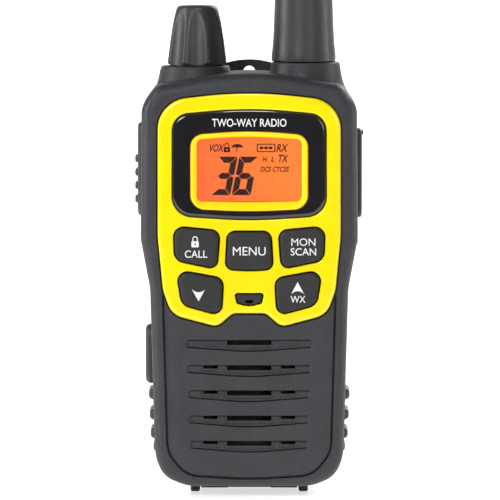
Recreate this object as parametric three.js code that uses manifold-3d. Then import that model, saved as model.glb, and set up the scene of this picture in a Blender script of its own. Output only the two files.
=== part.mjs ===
// A handheld two-way radio with a fixed stub antenna, built as the separate pieces it comes apart into.
// Millimetres. X runs to the antenna side seen from the front, Y from the keypad to the belt clip, Z up.
// The origin is the bottom centre of the whole radio's box, on the surface that its two feet stand on.
import * as THREE from "three";
import { mergeVertices } from "three/addons/utils/BufferGeometryUtils.js";
import Module from "manifold-3d";

const wasm = await Module();
wasm.setup();

// ---- Driving dimensions ----
const FACE_Y = -19.5; // front face of the front housing
const SEAM_Y = -11; // plane where the front and rear housings meet
const REAR_Y = 9.5; // back of the rear housing and of the battery door
const KEY_TOP_Y = -20.5; // tops of the keys, the foremost faces
const CLIP_BACK_Y = 20.5; // top of the belt clip's lever, the rearmost face
const SIDE_X = 30.2; // reach of the talk button's ribs and of the jack cover's tab
const ANTENNA_TOP = 165;
const WALL = 2;
const GAP = 0.3;
const GROOVE = 0.4; // open parting line round the bezel, the grille and the covers
const BASE_Z = 2.2; // underside of the housings, above the feet

const FRONT_INSIDE_Y = FACE_Y + 2.5; // inner face of the front wall
const POCKET_Y = FACE_Y + 1.5; // floor of the pockets that the bezel and the grille lie in
const TRIM_Y = FACE_Y - 0.3; // front of the bezel, the display and the grille
const BOARD_Y = -13.2; // front of the main board
const BOARD_BACK_Y = -12;

// ---- Outlines in the front view ----
// Right half, going up, as [x, z, corner radius]; a point at x = 0 lies on the axis.
const BODY = [[19.5, BASE_Z, 8], [24.75, 9, 9], [26.1, 54.5, 25], [28.6, 67.6, 10], [28.3, 102.6, 6.5],
  [24.3, 108, 4.2], [0, 112.2, 70]];
const BEZEL = [[4.3, 48.15, 2.5], [8.4, 44.6, 3], [20.4, 47.75, 5.5], [22.95, 54.2, 9], [24.25, 68.5, 30],
  [24.2, 104.6, 8.5], [0, 107.3, 120]];
const PANEL = [[0, 4.5, 100], [16.6, 5.5, 7.5], [21.4, 11.5, 8], [22.6, 54, 2]];
const LENS = [[0, 72.65, 120], [20.15, 74, 5.3], [20.05, 100.95, 4.4], [0, 102.75, 120]];
const RING = [[0, 74.95, 150], [15.35, 75.7, 3.8], [15.35, 95.05, 3.4], [0, 96.2, 120]];
const WINDOW = [[0, 77.2, 200], [13.9, 77.5, 1.6], [13.9, 94, 1.6], [0, 94.95, 150]];
const KEY_MENU = [[0, 59.4, 60], [6.25, 59.8, 2], [5.7, 69.75, 2.2]];
const KEY_OUTER = [[8.45, 59.85, 2], [19.6, 62.15, 2.9], [19.85, 71.1, 2.6], [7.65, 69.95, 2.4]];
const KEY_ARROW = [[7.3, 47.55, 2.2], [17.65, 50.45, 3.1], [19.2, 59.65, 2.5], [6.75, 57.4, 2.5]];
const MIC = [[0, 50.1, 8], [3.15, 50.9, 0.5], [3.7, 53.35, 0.5]];

// ---- Places and sizes of the parts ----
const GRILLE = {
  rows: 5, top: 41, pitch: 6.75, halfWidth: 16.7, narrowing: 0.27, endHeight: 2.1, middleHeight: 3.4,
};
const KNOB = { x: -13.8, y: -1, z: 113.05, top: 128.5, baseRadius: 8.2, topRadius: 5.5, flutes: 8 };
const ANTENNA = { x: 14.4, y: -1, z: 113.75, baseRadius: 8.45 };
const SPEAKER = { z: 26.6, radius: 17 };
const CELL = { radius: 5.25, length: 44.5, pitch: 11.3, y: 1.9, z: 7.65 };
const BAY = { x: 17.4, front: -3.9, bottom: 4.2, top: 55.6, wall: 2 };
const DOOR = { x: 18.5, thick: 1.6, hingeZ: 59.4, lipX: 12.7 };
const FOOT = { x: 14.3, width: 2.5, front: -9, back: 7.2 };
const TALK = { y: -2, width: 9, bottom: 73, top: 97.6 };
const JACK = { y: -2.5, width: 10.4, bottom: 72.6, top: 96, strapBottom: 65.2 };
const CHARGE = { y: -6.6, width: 7.6, bottom: 28.7, top: 44.4 };
const GRIP = { front: -9, back: 5.5, bottom: 7.4, top: 27.8, depth: 0.6 };
const GRIP_RIBS = [[26.6, 25.9], [26.4, 20.5], [26.15, 15.5], [25.4, 12], [24.5, 8.7]];
const CLIP = { pivotY: 15.8, pivotZ: 93, width: 27, thick: 2, top: 114, bottom: 62 };
const RAIL = { bottom: 86, top: 100 };
const SCREWS = [[22, 98.6], [21.2, 14.5]];

// ---- Outline helpers ----
const degrees = Math.PI / 180;

// The whole outline from its right half, anticlockwise.
function mirrored(half) {
  return [...half, ...half.filter(([x]) => x > 0).reverse().map(([x, z, r]) => [-x, z, r])];
}

function flipped(corners) {
  return corners.map(([x, z, r]) => [-x, z, r]).reverse();
}

// Points of an anticlockwise outline moved inwards by inset, with its corners rounded by arcs.
function outline(corners, inset = 0, step = 28) {
  const count = corners.length;
  const at = (i) => corners[(i + count) % count];
  const normal = (a, b) => {
    const length = Math.hypot(b[0] - a[0], b[1] - a[1]);
    return [-(b[1] - a[1]) / length, (b[0] - a[0]) / length];
  };
  const moved = corners.map((corner, i) => {
    const before = normal(at(i - 1), corner);
    const after = normal(corner, at(i + 1));
    const share = inset / (1 + before[0] * after[0] + before[1] * after[1]);
    return [corner[0] + (before[0] + after[0]) * share, corner[1] + (before[1] + after[1]) * share];
  });
  const points = [];
  moved.forEach((corner, i) => {
    const last = moved[(i + count - 1) % count];
    const next = moved[(i + 1) % count];
    const before = new THREE.Vector2(corner[0] - last[0], corner[1] - last[1]);
    const after = new THREE.Vector2(next[0] - corner[0], next[1] - corner[1]);
    const room = 0.49 * Math.min(before.length(), after.length());
    before.normalize();
    after.normalize();
    const turn = Math.atan2(before.cross(after), before.dot(after));
    const wanted = Math.max(corners[i][2] - inset * Math.sign(turn), 0.05);
    const reach = Math.min(wanted * Math.tan(Math.abs(turn) / 2), room);
    const radius = reach / Math.tan(Math.abs(turn) / 2);
    const side = Math.sign(turn) * radius;
    const start = new THREE.Vector2(corner[0], corner[1]).addScaledVector(before, -reach);
    const centre = new THREE.Vector2(start.x - before.y * side, start.y + before.x * side);
    const steps = Math.max(2, Math.ceil(Math.abs(turn) / degrees / step));
    for (let k = 0; k <= steps; k++) {
      points.push(start.clone().rotateAround(centre, (turn * k) / steps));
    }
  });
  return points;
}

const body = (inset = 0) => outline(mirrored(BODY), inset);
const bezel = (inset = 0) => outline(mirrored(BEZEL), inset);
const panel = (inset = 0) => outline(mirrored(PANEL), inset);

// ---- Solid helpers ----
function solid(geometry) {
  geometry.deleteAttribute("normal");
  geometry.deleteAttribute("uv");
  const merged = mergeVertices(geometry, 1e-4);
  return new wasm.Manifold(new wasm.Mesh({
    numProp: 3,
    vertProperties: merged.attributes.position.array,
    triVerts: new Uint32Array(merged.index.array),
  }));
}

function box(x0, x1, y0, y1, z0, z1) {
  const geometry = new THREE.BoxGeometry(x1 - x0, y1 - y0, z1 - z0);
  return solid(geometry.translate((x0 + x1) / 2, (y0 + y1) / 2, (z0 + z1) / 2));
}

// A front-view outline as a slab from y0 to y1; round and deep round the edges of both its faces.
function slab(points, y0, y1, round = 0, deep = round, segments = 1) {
  const geometry = new THREE.ExtrudeGeometry(new THREE.Shape(points), {
    depth: y1 - y0 - 2 * deep,
    bevelEnabled: round > 0,
    bevelSize: round,
    bevelOffset: -round,
    bevelThickness: deep,
    bevelSegments: segments,
  });
  return solid(geometry.translate(0, 0, deep).rotateX(Math.PI / 2).translate(0, y1, 0));
}

// A side-view outline, with y across and z up, as a bar from x0 to x1.
function bar(points, x0, x1) {
  const shape = new THREE.Shape(points);
  const geometry = new THREE.ExtrudeGeometry(shape, { depth: x1 - x0, bevelEnabled: false });
  const toSide = new THREE.Matrix4().makeBasis(
    new THREE.Vector3(0, 1, 0), new THREE.Vector3(0, 0, 1), new THREE.Vector3(1, 0, 0));
  return solid(geometry.applyMatrix4(toSide).translate(x0, 0, 0));
}

function rodX(radius, x0, x1, y, z, sides = 12) {
  const geometry = new THREE.CylinderGeometry(radius, radius, x1 - x0, sides).rotateZ(Math.PI / 2);
  return solid(geometry.translate((x0 + x1) / 2, y, z));
}

function rodY(radius, y0, y1, x, z, sides = 12) {
  const geometry = new THREE.CylinderGeometry(radius, radius, y1 - y0, sides);
  return solid(geometry.translate(x, (y0 + y1) / 2, z));
}

// A solid of revolution about the vertical line at x, y, from [radius, z] points going up.
function turned(profile, x, y, sides = 16) {
  const points = profile.map(([radius, z]) => new THREE.Vector2(radius, z));
  const geometry = new THREE.LatheGeometry(points, sides).rotateX(Math.PI / 2);
  return solid(geometry.translate(x, y, 0));
}

function rod(radius, z0, z1, x, y, sides = 12) {
  return turned([[0, z0], [radius, z0], [radius, z1], [0, z1]], x, y, sides);
}

// A solid of revolution about the front-to-back line at x, z, from [radius, y] points going back.
function turnedY(profile, x, z, sides = 16) {
  const points = profile.map(([radius, y]) => new THREE.Vector2(radius, y));
  return solid(new THREE.LatheGeometry(points, sides).translate(x, 0, z));
}

// A round wire along a curve.
function wire(curve, radius, steps, sides) {
  const section = new THREE.Shape(
    Array.from({ length: sides }, (_, i) => new THREE.Vector2(
      radius * Math.cos((i / sides) * 2 * Math.PI), radius * Math.sin((i / sides) * 2 * Math.PI))));
  return new THREE.ExtrudeGeometry(section, { extrudePath: curve, steps, bevelEnabled: false });
}

class Helix extends THREE.Curve {
  constructor(radius, turns, length) {
    super();
    Object.assign(this, { radius, turns, length });
  }
  getPoint(t, target = new THREE.Vector3()) {
    const angle = t * this.turns * 2 * Math.PI;
    return target.set(this.radius * Math.cos(angle), this.radius * Math.sin(angle), t * this.length);
  }
}

// A coil spring or an antenna winding standing on the point x, y, z.
function helix(x, y, z, radius, turns, length, thick, sides = 4) {
  const coil = new Helix(radius, turns, length);
  const geometry = wire(coil, thick, Math.round(turns * 8), sides);
  return solid(geometry.translate(x, y, z));
}

// The closed outline of a bent strip of even thickness along a centre line.
function strip(line, thick) {
  const points = line.map(([a, b]) => new THREE.Vector2(a, b));
  const side = (sign) => points.map((point, i) => {
    const before = point.clone().sub(points[Math.max(i - 1, 0)]).normalize();
    const after = points[Math.min(i + 1, points.length - 1)].clone().sub(point).normalize();
    const along = before.add(after).normalize();
    return new THREE.Vector2(point.x + along.y * sign * thick / 2, point.y - along.x * sign * thick / 2);
  });
  return [...side(1), ...side(-1).reverse()];
}

const rectangle = (a0, a1, b0, b1, radius) =>
  outline([[a1, b0, radius], [a1, b1, radius], [a0, b1, radius], [a0, b0, radius]]);
const joined = (...solids) => solids.reduce((whole, part) => whole.add(part));
const bothSides = (make) => make(1).add(make(-1));

// ---- Materials ----
const material = (color, roughness, metalness = 0, extra = {}) => ({ color, roughness, metalness, ...extra });
const CASING = material(0x424347, 0.62);
const RUBBER = material(0x2e2f31, 0.85);
const SOFT_KEY = material(0x3a3a3c, 0.75);
const YELLOW = material(0xf5e100, 0.25);
const GLOSS_BLACK = material(0x0a0a0b, 0.12);
const CLEAR = material(0xffffff, 0.05, 0, { transparent: true, opacity: 0.3 });
const DISPLAY = material(0xf07030, 0.3);
const WHITE_PLASTIC = material(0xe8e8e4, 0.5);
const BLACK_PLASTIC = material(0x141415, 0.5);
const STEEL = material(0xb0b2b5, 0.35, 1);
const NICKEL = material(0xc8c6bd, 0.25, 1);
const BOARD = material(0x1f5b34, 0.5);
const CONE_PAPER = material(0x26221f, 0.9);
const CELL_WRAP = material(0x2f6f9f, 0.35);
const COPPER = material(0xb0703c, 0.35, 1);

const radio = new THREE.Group();

function add(name, shape, look) {
  const { numProp, vertProperties, triVerts } = shape.getMesh();
  const geometry = new THREE.BufferGeometry();
  geometry.setAttribute("position", new THREE.BufferAttribute(vertProperties, numProp));
  geometry.setIndex(new THREE.BufferAttribute(triVerts, 1));
  const mesh = new THREE.Mesh(geometry, new THREE.MeshStandardMaterial(look));
  mesh.name = name;
  radio.add(mesh);
}

// ---- Housings ----
const EDGE = { width: 3, depth: 3.5 }; // rounding of the outer edges, front and back
const KNOB_COLLAR = { axis: KNOB, x: KNOB.x - 0.5, top: 112.6, floor: 109 };
const ANTENNA_COLLAR = { axis: ANTENNA, x: ANTENNA.x + 0.5, top: 113.6, floor: 110.2 };
const COLLAR = { foot: 103, footRadius: 10.6, waist: 108, waistRadius: 9.7, radius: 9.1, bore: 7.2 };
const BUSHING_HOLE = 4;
const NUT_RECESS = { radius: 6.2, floor: 111 };
const FERRULE_HOLE = 4.8;
const BOSS = { radius: 2.5, hole: 1.3, seat: 7.6, seatRadius: 2.3, bottom: -15.5 };
const DISPLAY_HOLE = { x: 16.6, bottom: 74, top: 97.2 };
const SPEAKER_HOLE = 13.6;

const keys = {
  call_key: flipped(KEY_OUTER),
  menu_key: mirrored(KEY_MENU),
  monitor_key: KEY_OUTER,
  down_key: flipped(KEY_ARROW),
  up_key: KEY_ARROW,
};

const frontHalf = (y) => box(-40, 40, -40, y, -10, 200);
const shell = () => slab(body(), FACE_Y, REAR_Y, EDGE.width, EDGE.depth, 2);

function frontHousing() {
  let housing = shell().intersect(frontHalf(SEAM_Y - GAP / 2));
  housing = housing.subtract(slab(body(WALL), FRONT_INSIDE_Y, 0));
  housing = housing.subtract(slab(bezel(-GROOVE), FACE_Y - 3, POCKET_Y));
  housing = housing.subtract(slab(panel(-GROOVE), FACE_Y - 3, POCKET_Y));
  const { x, bottom, top } = DISPLAY_HOLE;
  housing = housing.subtract(box(-x, x, FACE_Y - 3, FRONT_INSIDE_Y + 1, bottom, top));
  housing = housing.subtract(rodY(SPEAKER_HOLE, FACE_Y - 3, FRONT_INSIDE_Y + 1, 0, SPEAKER.z, 20));
  for (const corners of [...Object.values(keys), mirrored(MIC)]) {
    housing = housing.subtract(slab(outline(corners, KEY_HOLE_INSET), FACE_Y - 3, FRONT_INSIDE_Y + 1));
  }
  for (const [x, z] of SCREWS) {
    const boss = (side) => rodY(BOSS.radius, FRONT_INSIDE_Y - 0.2, SEAM_Y - GAP / 2, side * x, z);
    const hole = (side) => rodY(BOSS.hole, BOSS.bottom, SEAM_Y + 1, side * x, z);
    housing = housing.add(bothSides(boss)).subtract(bothSides(hole));
  }
  return housing;
}

// The ring-shaped space that a side grip fills, from one inset of the body to another.
function gripBand(side, outer, inner, spare) {
  const { front, back, bottom, top } = GRIP;
  const band = slab(body(outer), front - spare, back + spare)
    .subtract(slab(body(inner), front - 1, back + 1));
  return band.intersect(side > 0
    ? box(10, 40, -40, 40, bottom - spare, top + spare)
    : box(-40, -10, -40, 40, bottom - spare, top + spare));
}

// A block of the side-view rectangle of a cover or button, grown by spare.
function sideBlock(place, x0, x1, spare = 0, radius = 2) {
  const { y, width, bottom, top } = place;
  const half = width / 2 + spare;
  return bar(rectangle(y - half, y + half, bottom - spare, top + spare, radius), x0, x1);
}

const JACK_PLUGS = [[80, 1.9], [89.4, 1.5]]; // height and radius of the cover's two plugs
const JACK_FLOOR_X = 27.2;
const CHARGE_FLOOR_X = -24.9;
const CHARGE_PORT = { y: CHARGE.y, width: 4, bottom: 32.2, top: 41 };
const TETHER = { y: JACK.y, width: 4.6, bottom: JACK.strapBottom, top: JACK.bottom - 0.9 };
const HINGE_CLEARANCE = 1.4;
const CLIP_RAIL = { web: 4.6, head: 7, neck: REAR_Y + 1.4, back: REAR_Y + 2.8 };

function batteryBay() {
  const { x, front, bottom, top } = BAY;
  return box(-x, x, front, REAR_Y + 3, bottom, top);
}

function rearHousing() {
  const behindSeam = box(-40, 40, SEAM_Y + GAP / 2, 40, -10, 200);
  const collar = ({ axis, x, top }) => turned([
    [0, COLLAR.foot], [COLLAR.footRadius, COLLAR.foot], [COLLAR.waistRadius, COLLAR.waist],
    [COLLAR.radius, top - 0.4], [COLLAR.radius - 0.5, top], [0, top],
  ], x, axis.y, 20);
  const bore = ({ axis, floor }) => rod(COLLAR.bore, COLLAR.foot, floor, axis.x, axis.y, 20);
  const bay = box(
    -BAY.x - BAY.wall, BAY.x + BAY.wall, BAY.front - BAY.wall, REAR_Y, BASE_Z, BAY.top + BAY.wall);
  let housing = joined(shell(), collar(KNOB_COLLAR), collar(ANTENNA_COLLAR)).intersect(behindSeam);
  housing = housing.subtract(slab(body(WALL), SEAM_Y - 1, REAR_Y - WALL));
  housing = housing.subtract(bore(KNOB_COLLAR)).subtract(bore(ANTENNA_COLLAR));
  housing = housing.subtract(rod(BUSHING_HOLE, 100, 120, KNOB.x, KNOB.y));
  housing = housing.subtract(rod(NUT_RECESS.radius, NUT_RECESS.floor, 120, KNOB.x, KNOB.y, 20));
  housing = housing.subtract(rod(FERRULE_HOLE, 100, 120, ANTENNA.x, ANTENNA.y));
  housing = housing.add(bay.intersect(shell())).subtract(batteryBay());
  for (const [x, z] of SCREWS) {
    const boss = (side) => rodY(BOSS.radius, SEAM_Y + GAP / 2, REAR_Y - 1, side * x, z);
    const hole = (side) => rodY(BOSS.hole, SEAM_Y - 1, REAR_Y + 1, side * x, z);
    const seat = (side) => rodY(BOSS.seatRadius, BOSS.seat, REAR_Y + 1, side * x, z);
    housing = housing.add(bothSides(boss)).subtract(bothSides(hole)).subtract(bothSides(seat));
  }
  const foot = (side) => box(
    side * FOOT.x - FOOT.width / 2, side * FOOT.x + FOOT.width / 2, FOOT.front, FOOT.back, 0, BASE_Z + 1.4);
  const hingeSpace = { ...JACK, bottom: JACK.bottom - HINGE_CLEARANCE, top: JACK.bottom + 2 };
  const outside = joined(
    doorOpening(),
    gripBand(1, -2, GRIP.depth + GAP, GAP),
    gripBand(-1, -2, GRIP.depth + GAP, GAP),
    sideBlock(TALK, -40, -20, GROOVE, 2.4),
    sideBlock(JACK, JACK_FLOOR_X, 40, GROOVE, 2.4),
    sideBlock(TETHER, JACK_FLOOR_X, 40, GROOVE, 1),
    sideBlock(hingeSpace, JACK_FLOOR_X, 40, GROOVE, 1),
    sideBlock(CHARGE, -40, CHARGE_FLOOR_X, GROOVE, 3.4),
    sideBlock(CHARGE_PORT, -40, -20, 0, 1),
    ...JACK_PLUGS.map(([z, radius]) => rodX(radius + 0.6, 20, 40, JACK.y, z)),
  );
  return housing.add(bothSides(foot)).subtract(outside).add(clipRail());
}

// A T-section rail on the back, which the clip's bracket slides down onto.
function clipRail() {
  const { web, head, neck, back } = CLIP_RAIL;
  return joined(
    box(-web, web, REAR_Y - 0.5, back, RAIL.bottom, RAIL.top),
    box(-head, head, neck, back, RAIL.bottom, RAIL.top),
  );
}

function sideGrip(side) {
  const ribs = GRIP_RIBS.map(([x, z]) => {
    const tip = side > 0 ? x : -x;
    const root = tip - side * 2.6;
    const points = [[root, z - 1.5], [tip, z - 0.5], [tip, z + 0.5], [root, z + 1.5]];
    if (side < 0) points.reverse();
    return slab(points.map(([a, b]) => new THREE.Vector2(a, b)), GRIP.front + 1, GRIP.back - 1);
  });
  const inside = slab(body(GRIP.depth), -40, 40);
  return joined(gripBand(side, -0.2, GRIP.depth, 0), ...ribs).subtract(inside);
}

// ---- Face: bezel, display, keys, microphone and grille ----
const DISPLAY_BACK_Y = POCKET_Y - 0.15;
const LCD = { x: 15.8, bottom: 75, top: 96.3, front: -18, back: -16.3 };
const KEY_HOLE_INSET = -0.2;
const KEY_CAP_INSET = 0.15;
const KEY_FLANGE = { width: 0.8, front: FRONT_INSIDE_Y + 0.15, back: FRONT_INSIDE_Y + 1.1 };
const KEY_MAT = { x: 20.6, bottom: 47.6, top: 71.4, front: -14.95, back: BOARD_Y - 0.15 };
const MIC_PORT = { z: 51.3, radius: 3.1 };

function yellowBezel() {
  let trim = slab(bezel(), TRIM_Y, DISPLAY_BACK_Y, 0.6);
  trim = trim.subtract(slab(outline(mirrored(LENS), -0.2), -40, 0));
  for (const corners of [...Object.values(keys), mirrored(MIC)]) {
    trim = trim.subtract(slab(outline(corners, KEY_HOLE_INSET), -40, 0));
  }
  return trim;
}

function key(corners) {
  const cap = slab(outline(corners, KEY_CAP_INSET), KEY_TOP_Y, KEY_FLANGE.back, 0.5);
  return cap.add(slab(outline(corners, -KEY_FLANGE.width), KEY_FLANGE.front, KEY_FLANGE.back));
}

function grillePanel() {
  let grille = slab(panel(), TRIM_Y, DISPLAY_BACK_Y, 1.1, 0.7, 1);
  grille = grille.intersect(box(-40, 40, -40, 0, -10, 51)).subtract(slab(bezel(-GROOVE), -40, 0));
  for (let row = 0; row < GRILLE.rows; row++) {
    const top = GRILLE.top - row * GRILLE.pitch;
    const half = GRILLE.halfWidth - row * GRILLE.narrowing;
    const recess = mirrored([
      [0, top - GRILLE.middleHeight, 60], [half, top - GRILLE.endHeight, 0.6], [half, top, 0.5]]);
    grille = grille.subtract(slab(outline(recess), -40, TRIM_Y + 0.9));
    grille = grille.subtract(box(-5.8, 5.8, -40, 0, top - 1.7, top - 0.1));
    if (row > 0) {
      grille = grille.subtract(bothSides((side) => box(
        side * 10.2 - 2, side * 10.2 + 2, -40, 0, top - 0.9, top - 0.1)));
    }
  }
  return grille;
}

function micBoot() {
  const { z, radius } = MIC_PORT;
  const back = BOARD_Y - 0.15;
  return turnedY([
    [1, -16.8], [radius, -16.8], [radius, back], [2.2, back], [2.2, -15.9], [1, -15.9], [1, -16.8],
  ], 0, z);
}

// ---- Loudspeaker ----
function speakerFrame() {
  const r = SPEAKER.radius;
  return turnedY([
    [14.2, -16.1], [r, -16.1], [r, -15.3], [14.6, -15.3], [9.6, -11.2], [9.6, -10.3], [3, -10.3], [3, -11],
    [8.8, -11], [13.4, -14.9], [14.2, -14.9], [14.2, -16.1],
  ], 0, SPEAKER.z, 18);
}

function speakerCone() {
  return turnedY([
    [0, -13.6], [4, -13.2], [5, -12.7], [13.1, -15.8], [13.6, -15.4], [13.2, -15.2], [5, -12.1], [0, -12.1],
  ], 0, SPEAKER.z, 18);
}

// ---- Volume control and antenna ----
const POT = { radius: 6, bottom: 100.8, top: 108.8, bushing: 3.6, bushingTop: 112.8, bore: 2.3 };
const SHAFT = { lower: 2, upper: 3, shoulder: 113.1, top: 121 };
const NUT = { radius: 5.9, bottom: 111.15, top: 112.5 };
const KNOB_SKIRT = { radius: 7.2, hollow: 6.5, bottom: 112.75, roof: 114.2 };
const FLUTE = { radius: 2.6, length: 18, reach: 9.1, drop: 2.6 };

function volumeKnob() {
  const { x, y, z, top, baseRadius, topRadius, flutes } = KNOB;
  const { radius: skirtRadius, hollow, bottom, roof } = KNOB_SKIRT;
  const { radius: fluteRadius, length, reach, drop } = FLUTE;
  let knob = turned([
    [0, bottom], [skirtRadius, bottom], [skirtRadius, z], [baseRadius - 0.4, z], [baseRadius, z + 0.5],
    [7.55, z + 5.9], [6.8, z + 10.2], [topRadius + 0.2, z + 14.2], [topRadius - 0.5, top - 0.3],
    [topRadius - 1, top], [0, top],
  ], x, y, 24);
  const tilt = Math.atan2(baseRadius - topRadius, top - z);
  for (let i = 0; i < flutes; i++) {
    const cutter = new THREE.CylinderGeometry(fluteRadius, fluteRadius, length, 8)
      .rotateX(Math.PI / 2)
      .rotateY(-tilt)
      .translate(reach, 0, (z + top) / 2 - drop)
      .rotateZ((i / flutes) * 2 * Math.PI)
      .translate(x, y, 0);
    knob = knob.subtract(solid(cutter).intersect(rod(20, z, top, x, y)));
  }
  return knob.subtract(rod(hollow, bottom - 1, roof, x, y, 20))
    .subtract(rod(SHAFT.upper + GAP, z - 1, SHAFT.top + GAP, x, y));
}

function potBody() {
  const { radius, bottom, top, bushing, bushingTop, bore } = POT;
  return turned([
    [0, bottom], [radius, bottom], [radius, top], [bushing, top], [bushing, bushingTop], [bore, bushingTop],
    [bore, top + 0.6], [0, top + 0.6],
  ], KNOB.x, KNOB.y);
}

function potShaft() {
  const { lower, upper, shoulder, top } = SHAFT;
  return turned([
    [0, POT.top + 1], [lower, POT.top + 1], [lower, shoulder], [upper, shoulder], [upper, top], [0, top],
  ], KNOB.x, KNOB.y);
}

const SHEATH = { bore: 3.4, boreTop: 156, tipRadius: 5.6 };
const FERRULE = { radius: 4.5, spigot: 2.9, flange: 6.4, bottom: 103.5, shoulder: 113.45, top: 117.4 };

function antennaSheath() {
  const { x, y, z, baseRadius } = ANTENNA;
  const { bore, boreTop, tipRadius } = SHEATH;
  const tip = [0, 1, 2, 3, 4].map((i) => {
    const angle = (i / 4) * (Math.PI / 2);
    return [tipRadius * Math.cos(angle), ANTENNA_TOP - 4 + 4 * Math.sin(angle)];
  });
  tip[4][0] = 0;
  return turned([
    [bore, z], [baseRadius - 0.4, z], [baseRadius, z + 0.4], [baseRadius, z + 2], [7.95, z + 6.5],
    [7.5, 134], [6.3, 152], ...tip, [0, boreTop], [bore, boreTop], [bore, z],
  ], x, y, 20);
}

function antennaBase() {
  const { radius, spigot, flange, bottom, shoulder, top } = FERRULE;
  const seat = ANTENNA_COLLAR.floor - GAP;
  return turned([
    [0, bottom], [flange, bottom], [flange, seat], [radius, seat], [radius, shoulder], [spigot, shoulder],
    [spigot, top], [0, top],
  ], ANTENNA.x, ANTENNA.y);
}

// ---- Cells, contacts, door and latch ----
const CONTACT = { half: 4.6, front: -2.7, back: 6.5, thick: 0.4, springLength: 2.75, stud: 1.9 };
const HINGE = { y: REAR_Y - DOOR.thick / 2, z: DOOR.hingeZ, radius: DOOR.thick / 2 };
const LATCH = { travel: 1.8, slotX: 3.1, bottom: 5.6, top: 9.2 };

// A dry cell, its plus end up where up is 1 and down where it is -1.
function cell(x, up) {
  const { radius, length, y, z } = CELL;
  const profile = [[0, 0], [radius - 0.6, 0], [radius, 0.6], [radius, length - 0.6], [radius - 0.6, length],
    [1.9, length], [1.9, length + 0.8], [0, length + 0.8]];
  const placed = profile.map(([r, h]) => [r, up > 0 ? z + h : z + length - h]);
  return turned(up > 0 ? placed : placed.reverse(), x, y);
}

// A contact strip spanning the cells from x0 to x1, with a spring at one of them and a stud at another.
function contact(x0, x1, atTop, springX, studX) {
  const { half, front, back, thick, springLength, stud } = CONTACT;
  const near = atTop ? BAY.top - 0.15 - thick : BAY.bottom + 0.15;
  const pieces = [box(x0 - half, x1 + half, front, back, near, near + thick)];
  if (springX !== null) {
    const foot = atTop ? near + thick / 2 - springLength : near + thick / 2;
    pieces.push(helix(springX, CELL.y, foot, 2.6, 3, springLength, 0.3));
  }
  if (studX !== null) {
    pieces.push(atTop ? rod(1.7, near - stud, near + thick / 2, studX, CELL.y)
      : rod(1.7, near + thick / 2, near + thick + stud, studX, CELL.y));
  }
  return joined(...pieces);
}

function doorOpening() {
  return box(-DOOR.x - GAP, DOOR.x + GAP, REAR_Y - DOOR.thick - 0.15, REAR_Y + 3, -5, DOOR.hingeZ + 1.2);
}

function batteryDoor() {
  const { x, thick, lipX } = DOOR;
  const inner = REAR_Y - thick;
  const plate = shell().intersect(box(-x, x, inner, REAR_Y, BASE_Z - 1, HINGE.z));
  const lip = box(-lipX, lipX, FOOT.front + 0.5, inner + 0.4, BASE_Z - 1, BASE_Z - 0.2)
    .subtract(box(-5.8, 5.8, -40, FOOT.front + 1.6, -5, 5));
  const heel = box(-lipX, lipX, inner, REAR_Y - 0.4, BASE_Z - 1, BASE_Z + 5);
  const knuckle = rodX(HINGE.radius, -x, x, HINGE.y, HINGE.z, 12);
  const slot = box(-LATCH.slotX, LATCH.slotX, -40, 40, LATCH.bottom - 0.1, LATCH.top + LATCH.travel + 0.1);
  return joined(plate, lip, heel, knuckle).subtract(slot);
}

function batteryLatch() {
  const { slotX, bottom, top } = LATCH;
  const inner = REAR_Y - DOOR.thick;
  const grip = joined(...[0, 1, 2].map((i) => box(
    -3.4, 3.4, REAR_Y + 1, REAR_Y + 1.4, bottom + 0.5 + i * 1.2, bottom + 1.1 + i * 1.2)));
  return joined(
    box(-4.2, 4.2, REAR_Y + 0.15, REAR_Y + 1.1, bottom - 0.6, top + 0.4),
    box(-slotX + GAP, slotX - GAP, inner - 0.3, REAR_Y + 0.3, bottom + 0.1, top),
    box(-slotX - 1, slotX + 1, inner - 0.6, inner - 0.15, bottom - 0.5, top - 0.2),
    grip,
  );
}

// ---- Belt clip ----
const EAR = { inner: 8.7, outer: 10.6, radius: 2 };
const PIN_RADIUS = 1;

function clipBracket() {
  const { web, head, neck, back } = CLIP_RAIL;
  const base = box(-EAR.outer, EAR.outer, REAR_Y + 0.3, back + 1.2, RAIL.bottom - 2, RAIL.top + 2.4);
  const channel = joined(
    box(-web - GAP, web + GAP, REAR_Y, back + GAP, RAIL.bottom - 3, RAIL.top + GAP),
    box(-head - GAP, head + GAP, neck - GAP, back + GAP, RAIL.bottom - 3, RAIL.top + GAP),
  );
  const { pivotY, pivotZ } = CLIP;
  const ear = (side) => {
    const x0 = side > 0 ? EAR.inner : -EAR.outer;
    const x1 = x0 + EAR.outer - EAR.inner;
    return box(x0, x1, back + 1, pivotY, pivotZ - EAR.radius, pivotZ + EAR.radius)
      .add(rodX(EAR.radius, x0, x1, pivotY, pivotZ, 16));
  };
  return base.subtract(channel).add(bothSides(ear))
    .subtract(rodX(PIN_RADIUS + 0.25, -EAR.outer - 1, EAR.outer + 1, pivotY, pivotZ));
}

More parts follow.
